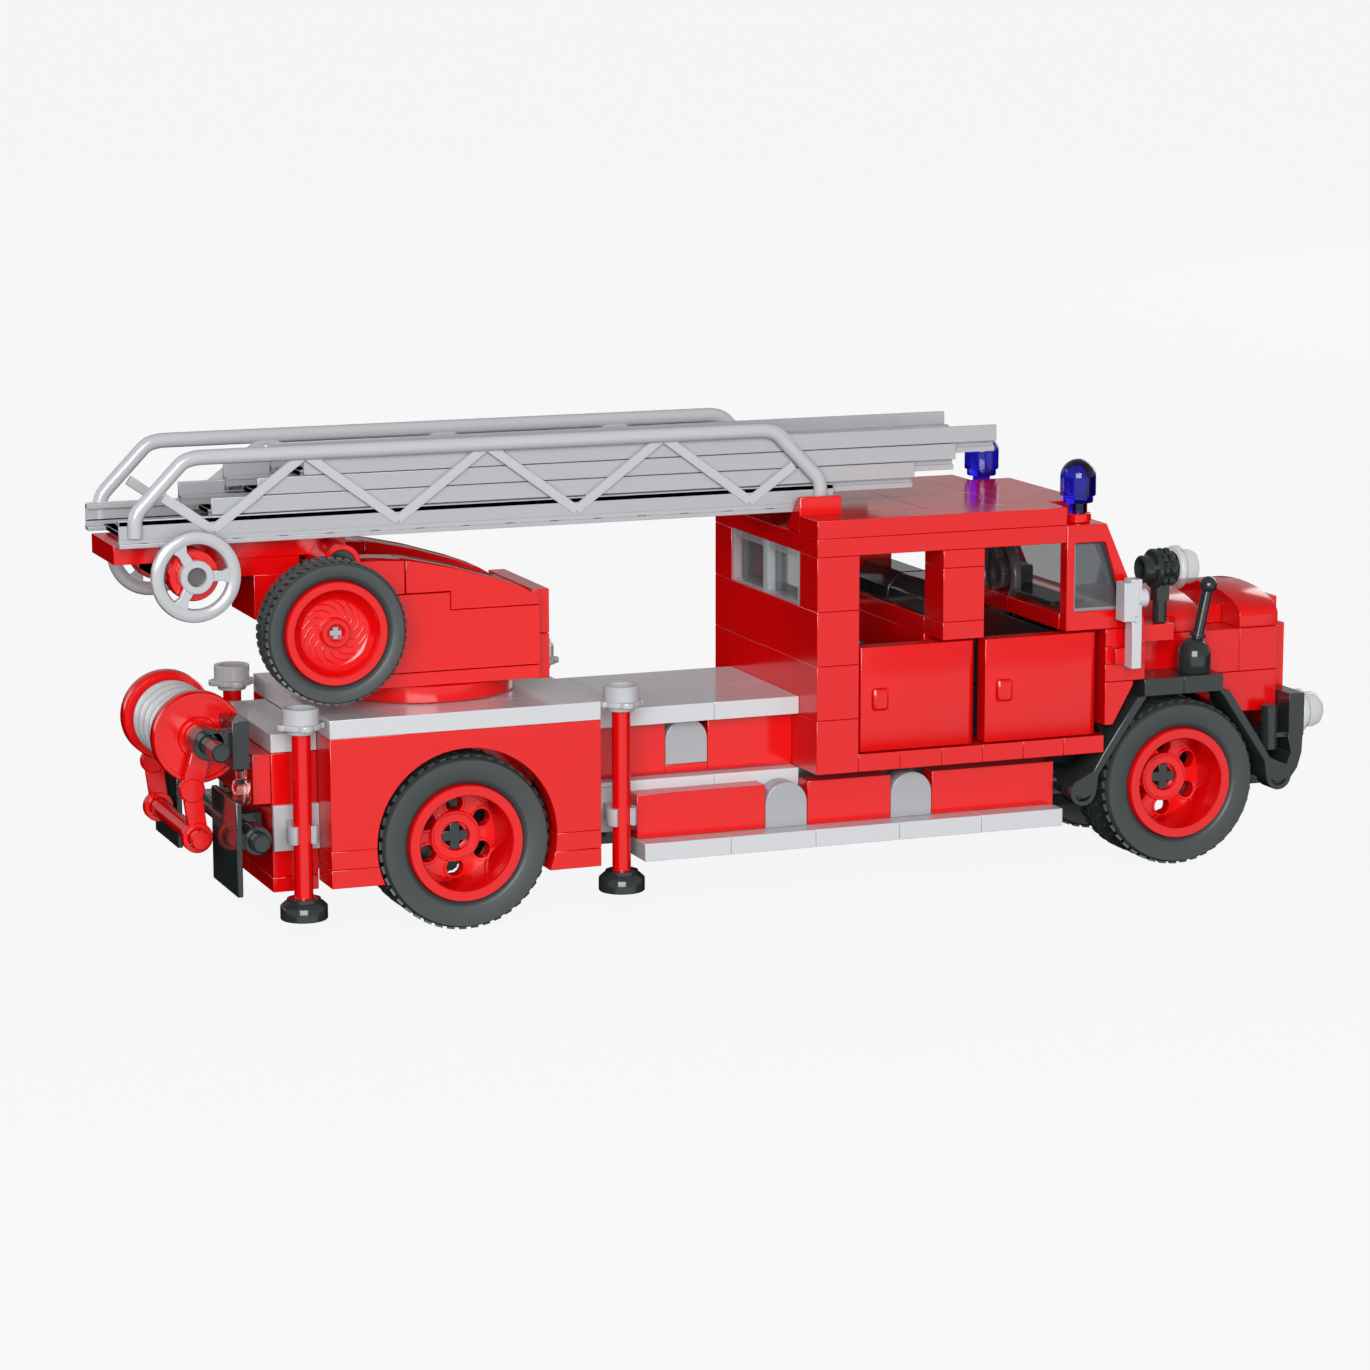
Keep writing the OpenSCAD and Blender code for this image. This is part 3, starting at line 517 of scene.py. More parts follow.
# ------------------------------------------------------------------ cab
def cab_body():
    p = Part("cab_rear_wall_bricks")
    for z in (0, 3, 6):
        p.add(brick(-1, 0, 0, 6, z, z + 3), RED)
    p.done("chassis", "red", "cab_rear_wall")
    p = Part("cab_side_bricks")
    p.add(brick(-1, 0, 0, 1, 9, 12), RED)
    for z0, z1 in ((7, 8), (8, 11), (11, 12)):
        p.add(brick(2, 3, 0, 1, z0, z1), RED)
    p.both()
    for z0, z1 in ((1, 4), (4, 7), (7, 8)):
        p.add(brick(2, 3, 1, 5, z0, z1), RED)
    p.done("chassis", "red", "cab_side_frames")
    p = Part("cab_floor_plates")
    for x in range(6):
        p.add(brick(x, x + 1, 0, 1, 0, 1), RED)
        p.add(brick(x, x + 1, 5, 6, 0, 1), RED)
    p.add(brick(0, 6, 1, 5, 0, 1), RED)
    p.done("chassis", "red", "cab_floor")
    p = Part("cab_roof_bricks")
    p.add(brick(-1, 5, 0, 6, 12, 13), RED)
    for y0, y1 in ((0, 1), (5, 6)):
        p.add(brick(-1, 5, y0, y1, 13, 14, 0.015), RED)
    for x0, x1 in ((0, 2), (2, 4), (4, 6)):
        for y0, y1 in ((1, 3), (3, 5)):
            p.add(brick(x0, x1, y0, y1, 13, 14, 0.015), RED)
    p.done("chassis", "red", "cab_roof")
    p = Part("ladder_cradle_slopes")
    p.add(cross_slab([(1.01, 13.02), (1.82, 13.02), (1.8, 13.15), (1.2, 14.88), (1.12, 14.97),
            (1.01, 14.98)], -1, 0), RED, 0.25)
    p.both().done("chassis", "red", "ladder_cradles")


DOOR_GAP, DOOR_T = 0.3, 3.2


def cab_door(name, x1, left):
    p = Part(name + "_panel")
    g = DOOR_GAP / STUD_MM
    back, front = x1 - 3 + g, x1 - 0.38
    w = DOOR_T / STUD_MM
    nose = [(front + 0.2 * math.sin(math.radians(a)), w / 2 - 0.2 * math.cos(math.radians(a)))
            for a in range(15, 180, 15)]
    outline = [(back, 0), (front, 0)] + nose + [(front, w), (back, w)]
    p.add(flat_slab(outline, 1 + DOOR_GAP / PLATE_MM, 7 - DOOR_GAP / PLATE_MM), RED, 0.16)
    hx = x1 - 3 + 0.485
    p.add(side_slab([(hx - 0.19, 3.38), (hx + 0.19, 3.38), (hx + 0.19, 4.62), (hx - 0.19, 4.62)], -0.12,
            0.02, 0), RED, 0.5)
    if left:
        p.flip()
    p.done(name, "red", name)


def windscreen():
    p = Part("windscreen_frame_moulding")
    outer = [(5.01, 7.02), (6.98, 7.02), (6.98, 7.35), (5.98, 12.98), (5.01, 12.98)]
    inner = [(5.2, 8.07), (6.46, 8.07), (5.96, 11.95), (5.2, 11.95)]

    def mm(pts):
        return [((x - 5) * STUD_MM, (z - 7) * PLATE_MM) for x, z in pts]

    def rounded(pts, r=0.5):
        out = []
        for i, q in enumerate(pts):
            a, b = Vector(pts[i - 1]), Vector(pts[(i + 1) % len(pts)])
            q = Vector(q)
            da, db = (a - q).normalized(), (b - q).normalized()
            for t in (0, 0.33, 0.67, 1):
                s, e = q + da * r, q + db * r
                out.append(tuple((s * (1 - t) + q * t) * (1 - t) + (q * (1 - t) + e * t) * t))
        return out
    corner = at(5, 0, 7)
    p.add(sheet(mm(outer), [rounded(mm(inner), 0.7)], 0.05, 2.8, corner, "y"), RED, 0.14)
    # the front face, with its wide opening
    slope = Vector((-(6.98 - 5.98) * STUD_MM, 0, (12.98 - 7.35) * PLATE_MM)).normalized()
    tall = math.hypot(STUD_MM, 5.63 * PLATE_MM)
    bm = bmesh.new()
    y_half = [(2.8, 0), (24, 0), (24, 2.3), (3.7, 2.3), (3.7, tall - 3.2), (24, tall - 3.2), (24, tall),
            (2.8, tall)]
    foot = at(6.98, 0, 7.35)
    vs = [bm.verts.new(foot + Vector((0, y * MM, 0)) + slope * h * MM) for y, h in y_half]
    f = bm.faces.new(vs)
    grown(bm, [f], Vector((-2.3, 0, -0.4)) * MM)
    p.add(bm, RED, 0.12)
    p.add(brick(5, 6.94, 0.35, 3, 7.02, 7.9, 0), RED)
    p.add(brick(5.02, 5.92, 0.35, 3, 12.0, 12.98, 0), RED)
    p.add(collar(1.6, 2.4, 0, 1.55, at(5.5, 0.5, 13), "z"), RED, 0)
    p.both().done("chassis", "red", "windscreen_frame")
    p = Part("cab_window_panes")
    pane = [(5.21, 8.12), (6.43, 8.12), (5.94, 11.9), (5.21, 11.9)]
    p.add(side_slab(pane, 0.13, 0.24, 0), PANE, 0.1)
    trim = [(5.2, 8.07), (6.45, 8.07), (6.4, 8.25), (5.27, 8.25), (5.27, 11.95), (5.2, 11.95)]
    p.add(side_slab(trim, 0.1, 0.28, 0), FROST, 0.05)
    p.add(side_slab([(6.4, 8.25), (6.46, 8.1), (5.97, 11.95), (5.27, 11.95), (5.27, 11.85), (5.9, 11.85)],
            0.1, 0.28, 0), BLACK, 0.05)
    p.both()
    p.add(side_slab([(6.44, 8.1), (6.54, 8.1), (5.93, 11.92), (5.83, 11.92)], 0.47, 5.53, 0), PANE, 0.1)
    p.done("chassis", "clear", "cab_glass")


def rear_windows():
    p = Part("rear_window_frames")
    for y0, y1 in ((1.0, 3.0), (3.0, 5.0)):
        for a0, a1, z0, z1 in ((y0, y0 + 0.13, 9, 12), (y1 - 0.15, y1, 9, 12),
                (y0 + 0.13, y1 - 0.15, 9, 9.2), (y0 + 0.13, y1 - 0.15, 11.6, 12)):
            p.add(brick(-0.99, -0.5, a0, a1, z0, z1, 0.01), FROST, 0.06)
        p.add(brick(-0.8, -0.66, y0 + 0.1, y1 - 0.1, 9.15, 11.7, 0), PANE, 0)
    p.done("chassis", "clear", "rear_windows")


def cab_inside():
    p = Part("seat_blocks")
    for x, high in ((0.4, 6.9), (3.0, 7.5)):
        p.add(brick(x, x + 1.2, 0.9, 2.6, 1, 3.95), BLACK)
        p.add(side_slab([(x, 4), (x + 0.5, 4), (x + 0.1, high - 0.1), (x, high)], 0.9, 2.6), BLACK)
    p.add(side_slab([(2.01, 8.02), (2.01, 8.95), (2.33, 9.68), (2.99, 9.68), (2.99, 8.02)], 1.03, 2.97),
            BLACK, 0.3)
    p.both().done("chassis", "black", "seats")
    p = Part("dashboard_and_wheel")
    p.add(brick(5.2, 5.95, 0.9, 5.1, 1, 6.6), BLACK)
    p.add(brick(5.5, 5.85, 3.7, 4.3, 6.5, 8.1, 0), BLACK)
    p.add(brick(5.45, 5.9, 0.92, 5.08, 8.1, 8.35, 0), BLACK)
    p.add(brick(5.1, 5.47, 0.92, 2.95, 8.1, 8.35, 0), BLACK)
    p.add(brick(5.1, 5.47, 5.04, 5.08, 8.1, 8.35, 0), BLACK)
    p.add(brick(5.45, 5.95, 3.6, 4.4, 8.3, 9.38, 0), BLACK, 0.2)
    wheel_disc(p, at(5.18, 4.0, 8.8), "x", DARK)
    p.done("chassis", "black", "steering_wheel")


def wheel_disc(part, c, axis, mat):
    """Round three-spoked hand wheel, 15.4 mm across."""
    ring = [(7.7, 1.0), (7.5, 0.35), (6.9, 0.02), (6.2, 0.0), (5.6, 0.3), (5.35, 0.9), (5.5, 1.6),
            (6.2, 1.98), (7.0, 1.98), (7.5, 1.65), (7.7, 1.0)]
    part.add(turned(ring, c, axis, 56), mat, 0)
    out = AXES[axis]
    side = Vector((0, 0, 1)).cross(out)
    spoke = [(1.9, -1.0), (4.4, -0.8), (5.8, -1.5), (5.8, 1.5), (4.4, 0.8), (1.9, 1.0)]
    for k in range(3):
        a = math.radians(60 + 120 * k)
        d = side * math.cos(a) + Vector((0, 0, 1)) * math.sin(a)
        cross = out.cross(d)
        bm = bmesh.new()
        lo, hi = c + out * 0.4 * MM, c + out * 1.6 * MM
        vs = [bm.verts.new(lo + d * r * MM + cross * w * MM) for r, w in spoke]
        grown(bm, [bm.faces.new(vs)], hi - lo)
        part.add(bm, mat, 0.15)
    part.add(collar(1.6, 2.8, 0, 2.05, c, axis), mat, 0)


# ------------------------------------------------------------------ bonnet and front
def bonnet():
    p = Part("cowl_bricks")
    for z0, z1 in ((4, 5), (5, 6)):
        p.add(brick(6, 7, 0, 1.05, z0, z1), RED)
    p.add(brick(6, 7, 0, 1.2, 6, 7), RED)
    p.add(brick(6, 7, 1.2, 3, 6, 7), RED)
    p.add(side_slab([(6.01, 3.98), (6.71, 3.98), (6.70, 3.73), (6.21, 1.55), (6.01, 1.55)], 0, 1), RED)
    p.add(brick(6.01, 6.2, 1.0, 1.1, 1.6, 4), RED)
    p.both().done("chassis", "red", "cowl")
    p = Part("bonnet_bricks")
    well = arc(FRONT_AXLE_X, AXLE_Z, 16.4, 20, 160, 20)
    under = [q for q in well if q[1] > 1.12]
    lower = [(6.02, 1.12), (6.02, 3.48), (10.98, 3.48), (10.98, 1.12)] + under
    p.add(side_slab(lower, 1.1, 1.95), RED)
    p.add(brick(6.02, 10.98, 1.95, 4.05, 1.12, 3.48), RED)
    p.add(brick(6.02, 10, 1.1, 3, 3.5, 6), RED)
    p.add(brick(10, 11, 1.1, 3, 3.5, 6), RED)
    p.add(brick(9, 10, 2, 3, 6, 7.1), RED)
    p.both()
    p.add(brick(7.05, 7.85, 0.25, 1.08, 6.0, 6.98), RED)
    p.done("chassis", "red", "hood")
    p = Part("bonnet_curved_slopes")
    for x0, x1, top in ((7, 9, 8.1), (10, 11, 8.05)):
        curve = [(3 - 1.88 * math.cos(math.radians(a)), 6.7 + (top - 6.7) * math.sin(math.radians(a)))
                for a in range(6, 91, 7)]
        p.add(cross_slab([(1.12, 6.02), (1.12, 6.68)] + curve + [(3, 6.02)], x0, x1), RED, 0.12)
    p.both().done("chassis", "red", "hood_curves")


def radiator():
    p = Part("radiator_plate")
    slots = []
    for z in (0.8, 2.0, 3.2, 4.4):
        bottom, top = z * PLATE_MM, (z + 0.6) * PLATE_MM
        slots.append([(0.4 * STUD_MM, bottom), (2.6 * STUD_MM, bottom), (2.6 * STUD_MM, top),
                (0.4 * STUD_MM, top)])
    p.add(brick(11.0, 11.2, 1.5, 4.5, 0.02, 6), RED)
    face = [(0.1, 0.06), (23.9, 0.06), (23.9, 19.15), (0.1, 19.15)]
    bm = bmesh.new()
    for loop in [face] + slots:
        vs = [bm.verts.new((X(11.2), Y(1.5) + y * MM, Z(0) + z * MM)) for y, z in loop]
        for a, b in zip(vs, vs[1:] + vs[:1]):
            bm.edges.new((a, b))
    bmesh.ops.triangle_fill(bm, use_beauty=True, use_dissolve=True, edges=bm.edges[:], normal=(1, 0, 0))
    grown(bm, bm.faces[:], Vector((1.55 * MM, 0, 0)))
    p.add(bm, RED, 0.1)
    for y0, y1 in ((1.9, 2.2), (3.8, 4.1)):
        p.add(brick(11, 11.4, y0, y1, 6, 7.4), RED)
    p.add(brick(11, 11.4, 2.2, 3.8, 6, 6.5), RED)
    p.add(brick(11, 11.4, 2.2, 3.8, 6.9, 7.4), RED)
    p.done("chassis", "red", "radiator_grille")


def fenders():
    p = Part("front_fender_arches")
    for x0, x1 in ((7, 8), (8, 9)):
        p.add(brick(x0, x1, 0, 1.1, 3, 4), BLACK)
    arm = [(-1.17, 3.01), (-2, -0.05), (-2.25, -1.05), (-2.62, -1.5), (-2.8, -1.95), (-2.7, -2.4),
            (-2.45, -2.6), (-2.15, -2.2), (-2.11, -1.27), (-1, 2.75), (-0.95, 2.9), (-0.95, 3.05)]
    for s in (1, -1):
        p.add(side_slab([(FRONT_AXLE_X + s * x, z) for x, z in arm], 0, 1.1), BLACK, 0.15)
        p.add(collar(1.65, 2.55, 0, 4, at(FRONT_AXLE_X - s * 2.49, 0, -2.2), "y"), BLACK, 0)
    p.both().done("chassis", "black", "front_fenders")
    p = Part("front_bumper")
    p.add(rod(at(10.49, 0.05, -2.2), at(10.49, 5.95, -2.2), 1.6), BLACK, 0)
    p.add(brick(10.2, 10.65, 1.15, 4.85, -3, -0.15, 0), BLACK)
    p.add(brick(10.6, 11.1, 0.6, 5.4, -0.3, 0, 0), BLACK)
    for y0 in (0.5, 4.5):
        p.add(brick(11, 11.4, y0, y0 + 1, -0.22, 2.28, 0.02), BLACK)
    p.add(side_slab([(10.98, -0.1), (11.38, -0.1), (11.36, -1.2), (11.25, -2.1), (11.05, -2.75),
            (10.88, -2.3), (11.08, -1.2)], 0.5, 5.5), BLACK)
    p.add(side_slab([(11.07, -2.7), (10.75, -3.2), (10.4, -3.2), (10.4, -2.6), (10.9, -2.35)], 1.15, 4.85),
            BLACK)
    for y in (0.78, 5.22):
        p.add(rod(at(10.65, y, -1), at(10.65, y, 1.6), 1.6), BLACK, 0)
    p.done("chassis", "black", "bumper")
    p = Part("headlamp_lenses")
    p.add(turned([(0, 0), (3.8, 0), (3.95, 0.2), (3.95, 1.3), (3.7, 1.6), (3.25, 1.6), (3.25, 3.6),
            (2.9, 4.5), (2.0, 5.15), (0, 5.4)], at(11.4, 1, 1.03), "x", 40), FROST, 0)
    p.both().done("chassis", "clear", "headlight_lenses")


def searchlight():
    p = Part("searchlight_housing")
    c = at(7.08, 0.5, 10.05)
    p.add(collar(1.6, 2.5, 0, 2.4, c, "x", 0.25), BLACK, 0)
    # painted shade: the very dark disc inside the hollow stud stands in for the shade there
    p.add(disc(1.7, 1.2, 2.2, c, "x"), HOLE_PAINTED_SHADE, 0)
    p.add(disc(3.6, 2.2, 3.3, c, "x", 0.25), BLACK, 0)
    p.add(disc(2.9, 3.2, 6.6, c, "x", 0.1), BLACK, 0)
    for h in (3.9, 5.2):
        for k in range(8):
            a = math.pi * k / 4
            spot = c + Vector((0, math.cos(a), math.sin(a))) * 2.7 * MM
            p.add(disc(1.0, h - 0.5, h + 0.5, spot, "x", 0.2, 16), BLACK, 0)
    p.add(rod(at(7.6, 0.5, 7), at(7.6, 0.5, 9.2), 1.3), BLACK, 0)
    p.add(brick(7.44, 7.76, 0.34, 0.66, 8.2, 9.3, 0), BLACK)
    p.done("chassis", "black", "searchlight_body")
    p = Part("searchlight_glass")
    p.add(turned([(0, 0), (3.8, 0), (3.95, 0.2), (3.95, 1.1), (3.7, 1.35), (3.1, 1.4), (3.1, 3.4),
            (2.9, 4.0), (2.4, 4.2), (0, 4.2)], at(7.9, 0.5, 10.05), "x", 40), FROST, 0)
    p.add(collar(2.2, 3.0, -0.4, 0.1, at(7.9, 0.5, 10.05), "x"), CLEAR, 0)
    p.done("chassis", "clear", "searchlight_lens")


def mirrors_and_poles():
    p = Part("side_mirrors")
    p.add(brick(6.13, 6.42, -0.62, -0.2, 7.62, 9.8, 0), GREY, 0.12)
    p.add(brick(6.4, 6.5, -0.62, -0.2, 7.9, 9.5, 0), GREY, 0.12)
    p.add(brick(6.33, 6.6, -0.56, -0.2, 7.5, 9.95, 0), GREY, 0.12)
    p.add(brick(6.37, 6.61, -0.56, -0.2, 4.92, 7.6, 0), GREY, 0.15)
    p.add(disc(1.7, 0, 2.9, at(6.4, -0.4, 8.85), "x"), GREY, 0)
    p.add(brick(6.15, 6.85, -0.2, 0, 5.05, 5.95, 0), RED)
    p.both().done("chassis", "grey", "mirrors")
    p = Part("marker_pole_pair")
    c = at(8.5, 0.5, 4)
    p.add(turned([(0, 0), (2.95, 0), (3.1, 0.2), (3.1, 3.2), (2.9, 4.2), (2.3, 5.3), (1.4, 6.0), (0, 6.25)],
            c, "z", 32), BLACK, 0)
    d = Vector((math.sin(math.radians(12)), 0, math.cos(math.radians(12))))
    e = at(8.5, 0.5, 5)
    p.add(rod(e, e + d * 12.2 * MM, 1.0, 0.1, 20), BLACK, 0)
    p.add(ball(1.6, e + d * 12.8 * MM), BLACK, 0)
    p.add(collar(1.0, 1.45, 3.2, 4.0, e, d, 0.1, 20), BLACK, 0)
    p.both().done("chassis", "black", "marker_poles")
    p = Part("beacon_domes")
    c = at(5.5, 0.5, 13.5)
    prof = [(0, 0), (1.6, 0), (1.6, 1.85), (2.6, 1.85), (2.72, 2.0), (2.72, 3.05), (3.05, 3.05), (3.18, 3.2),
            (3.18, 6.4)]
    prof += [(3.18 * math.cos(math.radians(a)), 6.4 + 3.18 * math.sin(math.radians(a)))
            for a in range(10, 81, 10)] + [(0, 9.58)]
    p.add(turned(prof, c, "z", 40), BLUE, 0)
    p.both().done("chassis", "blue", "beacons")


# ------------------------------------------------------------------ turret
def tongue(points, y0, y1, mat, part, edge=EDGE):
    part.add(side_slab(points, y0, y1), mat, edge)


def turret():
    p = Part("turret_bricks")
    g = 0.014
    y0, y1 = 1, 2
    tongue([(-10 + g, 11 + g), (-9, 11 + g), (-9, 10 + g), (-7.01, 10 + g), (-7.01, 10.43), (-7.36, 10.96),
            (-7.88, 11.45), (-8.87, 12.2), (-9.71, 12.67), (-10 + g, 12.76)], y0, y1, RED, p)
    tongue([(-10 - g, 12.77), (-10.55, 12.85), (-11.9, 12.85), (-11.9, 11), (-10 - g, 11)], y0, y1, RED, p)
    tongue([(-12, 8.4), (-12.44, 8.9), (-12.44, 10.6), (-11.9, 10.95), (-9 - g, 10.95), (-9 - g, 10 - g),
            (-7.01, 10 - g), (-7.01, 6.78), (-12, 6.78)], y0, y1, RED, p)
    tongue([(-12, 6.02), (-7.01, 6.02), (-7.01, 6.74), (-12, 6.74)], y0, y1, RED, p)
    p.add(disc(3.3, 0, 8, at(-11.39, 1, 12.8), "y"), RED, 0)
    p.add(collar(2.4, 3.3, -0.3, 0.4, at(-11.39, 1, 12.8), "y"), RED, 0)
    p.add(disc(2.4, -0.1, 0.4, at(-11.39, 1, 12.8), "y"), BLACK, 0)
    p.both()
    for x0, x1, yy0, yy1, z0, z1 in ((-12, -10, 2, 4, 6.02, 7.4), (-10, -7, 2, 4, 6.02, 7.4),
            (-10.7, -7, 2, 4, 7.42, 8.9), (-8, -7, 2, 4, 8.92, 10.55)):
        p.add(brick(x0, x1, yy0, yy1, z0, z1), RED)
    # housing on the front of the turret
    p.add(brick(-7, -6.62, 1.5, 4.5, 5.75, 8.2), RED)
    p.add(brick(-7, -6.62, 1.5, 4.5, 8.22, 10.62), RED)
    p.add(disc(16, 0.1, 3.1, at(-9.05, 3, 5), "z", 0.2, 72), RED, 0)
    p.add(brick(-6.6, -6.37, 2.12, 2.48, 6.62, 7.58, 0), GREY)
    p.add(rod(at(-11.39, 1.9, 12.8), at(-11.39, 4.1, 12.8), 2.3), BLACK, 0)
    p.done("turret", "red", "turret_body")


# ------------------------------------------------------------------ ladder
RAIL = [(-15.67, 14.6), (-15.67, 15.75), (-14.62, 18.45), (-14.35, 18.62), (-1.65, 18.62), (-1.38, 18.45),
        (-0.33, 15.75), (-0.33, 14.6)]


def eased(points, r, n=4):
    """Polyline of (stud, plate) points with its corners rounded by r mm."""
    vs = [at(x, 3, z) for x, z in points]
    out = [vs[0]]
    for a, q, b in zip(vs, vs[1:], vs[2:]):
        da, db = a - q, b - q
        k = min(r * MM, da.length * 0.45, db.length * 0.45)
        s, e = q + da.normalized() * k, q + db.normalized() * k
        for i in range(n + 1):
            t = i / n
            out.append((s * (1 - t) + q * t) * (1 - t) + (q * (1 - t) + e * t) * t)
    out.append(vs[-1])
    return out


def shifted(path, y):
    return [Vector((v.x, y * MM, v.z)) for v in path]


def rungs(part, x0, z, half, height=0.9, width=1.9):
    for n in range(16):
        bm = bmesh.new()
        bmesh.ops.create_cube(bm, size=1)
        bmesh.ops.scale(bm, vec=Vector((width, 2 * half, height)) * MM, verts=bm.verts)
        bmesh.ops.translate(bm, vec=(X(x0) + STUD * (n + 0.5), 0, Z(z) + height * MM / 2), verts=bm.verts)
        part.add(bm, GREY, 0.12)


def side_strip(part, x0, x1, y_out, y_in, z0, z1, edge=0.08):
    """Straight strip of a ladder side, mm across, on the right; both() makes the other."""
    bm = bmesh.new()
    bmesh.ops.create_cube(bm, size=1)
    bmesh.ops.scale(bm, vec=((x1 - x0) * STUD, (y_out - y_in) * MM, (z1 - z0) * PLATE), verts=bm.verts)
    bmesh.ops.translate(bm, vec=(X((x0 + x1) / 2), -(y_out + y_in) / 2 * MM, Z((z0 + z1) / 2)),
            verts=bm.verts)
    part.add(bm, STRIP, edge)


def ladder_base():
    p = Part("ladder_base_frame")
    side_strip(p, -16, 0, 12.15, 11.6, 14.5, 15.5, 0.1)
    side_strip(p, -16, 0, 12.15, 10.6, 15.2, 15.45, 0.06)
    side_strip(p, -16, 0, 12.08, 11.6, 14.2, 14.6, 0)
    side_strip(p, -16, 0, 12.5, 9.95, 14.05, 14.28, 0.1)
    rungs(p, -16, 14.055, 12.1)
    loop = [(1.0 * math.cos(2 * math.pi * i / 12), 1.28 * math.sin(2 * math.pi * i / 12)) for i in range(12)]
    p.add(swept(shifted(eased(RAIL, 1.6), -12.48), loop), MID, 0)
    braces = [((x, 14.8), (x + 2, 18.5)) for x in (-14, -10, -6)]
    braces += [((x + 2, 18.5), (x + 4, 14.8)) for x in (-14, -10, -6)]
    braces += [((-14, 14.75), (-15.05, 16.6)), ((-2, 14.75), (-0.95, 16.6))]
    flat = [(0.38, 0.0), (0.3, 0.75), (0.0, 0.88), (-0.3, 0.75), (-0.38, 0.0), (-0.3, -0.75), (0.0, -0.88),
            (0.3, -0.75)]
    for (xa, za), (xb, zb) in braces:
        p.add(swept([Vector((X(xa), -12.08 * MM, Z(za))), Vector((X(xb), -12.08 * MM, Z(zb)))], flat), MID, 0)
    p.both().done("ladder", "light", "ladder_base")


SEC_FOOT, SEC_BOT, SEC_TOP = (14.95, 15.84, 16.76), (15.54, 16.45, 17.37), (16.41, 17.33, 18.27)


def ladder_section(k):
    i = k - 2
    x0, x1 = -14 + i, 2 + i
    foot, bot, top = SEC_FOOT[i], SEC_BOT[i], SEC_TOP[i]
    p = Part("sliding_section_%d" % k)
    side_strip(p, x0, x1, 11.42, 10.72, bot, top, 0.12)
    side_strip(p, x0, x1, 11.38, 8.75, bot + 0.01, bot + 0.19, 0.05)
    side_strip(p, x0, x1, 9.94, 9.05, foot + 0.05, bot + 0.09, 0)
    side_strip(p, x0, x1, 10.54, 9.05, foot, foot + 0.31, 0.1)
    rungs(p, x0, foot + 0.005, 10.2, 0.88)
    p.both().done("section_%d" % k, "light", "ladder_section_%d" % k)


def ladder_mount():
    p = Part("ladder_carrier_bricks")
    p.add(brick(-16, -14, 2, 4, 13, 14.04), RED)
    p.add(brick(-14, -11, 2, 4, 13, 14.04), RED)
    p.add(disc(3.3, 0, 15.04, at(-11.39, 2.06, 12.8), "y"), RED, 0)
    p.add(brick(-15, -12, 2.06, 3.94, 12.02, 13.05), RED)
    p.add(brick(-15, -14, 1.5, 4.5, 12.02, 12.98), RED)
    p.add(brick(-13, -12, 2.06, 3.94, 9.66, 12.05), RED)
    for y in (1.2, 4.8):
        s = 1 if y < 3 else -1
        p.add(turned([(0, 0), (4.1, 0), (4.3, 0.25), (4.3, 2.9), (4.1, 3.15), (0, 3.15)],
                at(-14.5, y, 12.55), (0, s, 0), 48), RED, 0)
    p.done("ladder", "red", "ladder_carrier")
    p = Part("hand_wheel_pair")
    c = at(-14.5, 0.94, 12.55)
    wheel_disc(p, c, "y", MID)
    p.add(disc(1.7, 1.2, 2.0, c, "y"), DARK, 0)
    p.both().done("ladder", "light", "hand_wheels")


# ------------------------------------------------------------------ jacks and rear fittings
def jack(name, x, left):
    cap = Z(5.7) / MM
    foot = Z(-5.55) / MM
    p = Part(name + "_pole")
    o = Vector((X(x), Y(0.25), 0))
    p.add(turned([(1.5, foot), (3.85, foot), (4.0, foot + 0.15), (4.0, foot + 2.25), (3.95, foot + 2.35),
            (3.3, foot + 2.95), (3.2, foot + 3.0), (2.9, foot + 3.0), (2.85, foot + 3.55), (1.5, foot + 3.6),
            (1.5, foot)], o, "z", 40), BLACK, 0)
    p.add(disc(1.6, foot + 2.6, cap - 1, o, "z", 0.1), RED, 0)
    p.add(disc(2.5, cap - 4.4, cap - 3.6, o, "z"), MID, 0)
    lobes = []
    for i in range(64):
        a = 2 * math.pi * i / 64
        r = 3.45 + 0.72 * max(0.0, math.cos(4 * a)) ** 0.6
        lobes.append((r * math.cos(a), r * math.sin(a)))
    p.add(sheet(lobes, [], cap - 3.58, cap - 2.62, o, "z"), MID, 0.12)
    p.add(collar(2.4, 3.1, cap - 2.7, cap, o, "z"), MID, 0)
    p.add(disc(2.5, cap - 3, cap - 1.6, o, "z"), MID, 0)
    if left:
        p.flip()
    p.done(name, "red", name)


def jack_clip_set():
    p = Part("jack_clip_tiles")
    for x, zc, x0 in ((-5.45, -1.45, -6), (-12.55, -1, -13)):
        p.add(brick(x0, x0 + 1, 0.88, 1, zc - 1.23, zc + 1.23, 0.02), MID)
        c = at(x, 0.25, zc) - Vector((0, 0, 1.6 * MM))
        turns = [math.radians(-90 + 38 + (360 - 76) * i / 24) for i in range(25)]
        pts, inner = ([(r * math.cos(a), r * math.sin(a)) for a in turns] for r in (2.65, 1.68))
        p.add(sheet(pts + inner[::-1], [], 0.05, 3.1, c, "z"), MID, 0.1)
        p.add(brick(x - 0.19, x + 0.19, 0.55, 0.9, zc - 0.45, zc + 0.45, 0), MID)
    p.both().done("chassis", "grey", "jack_clips")


REEL = (-14.4, 3.85)


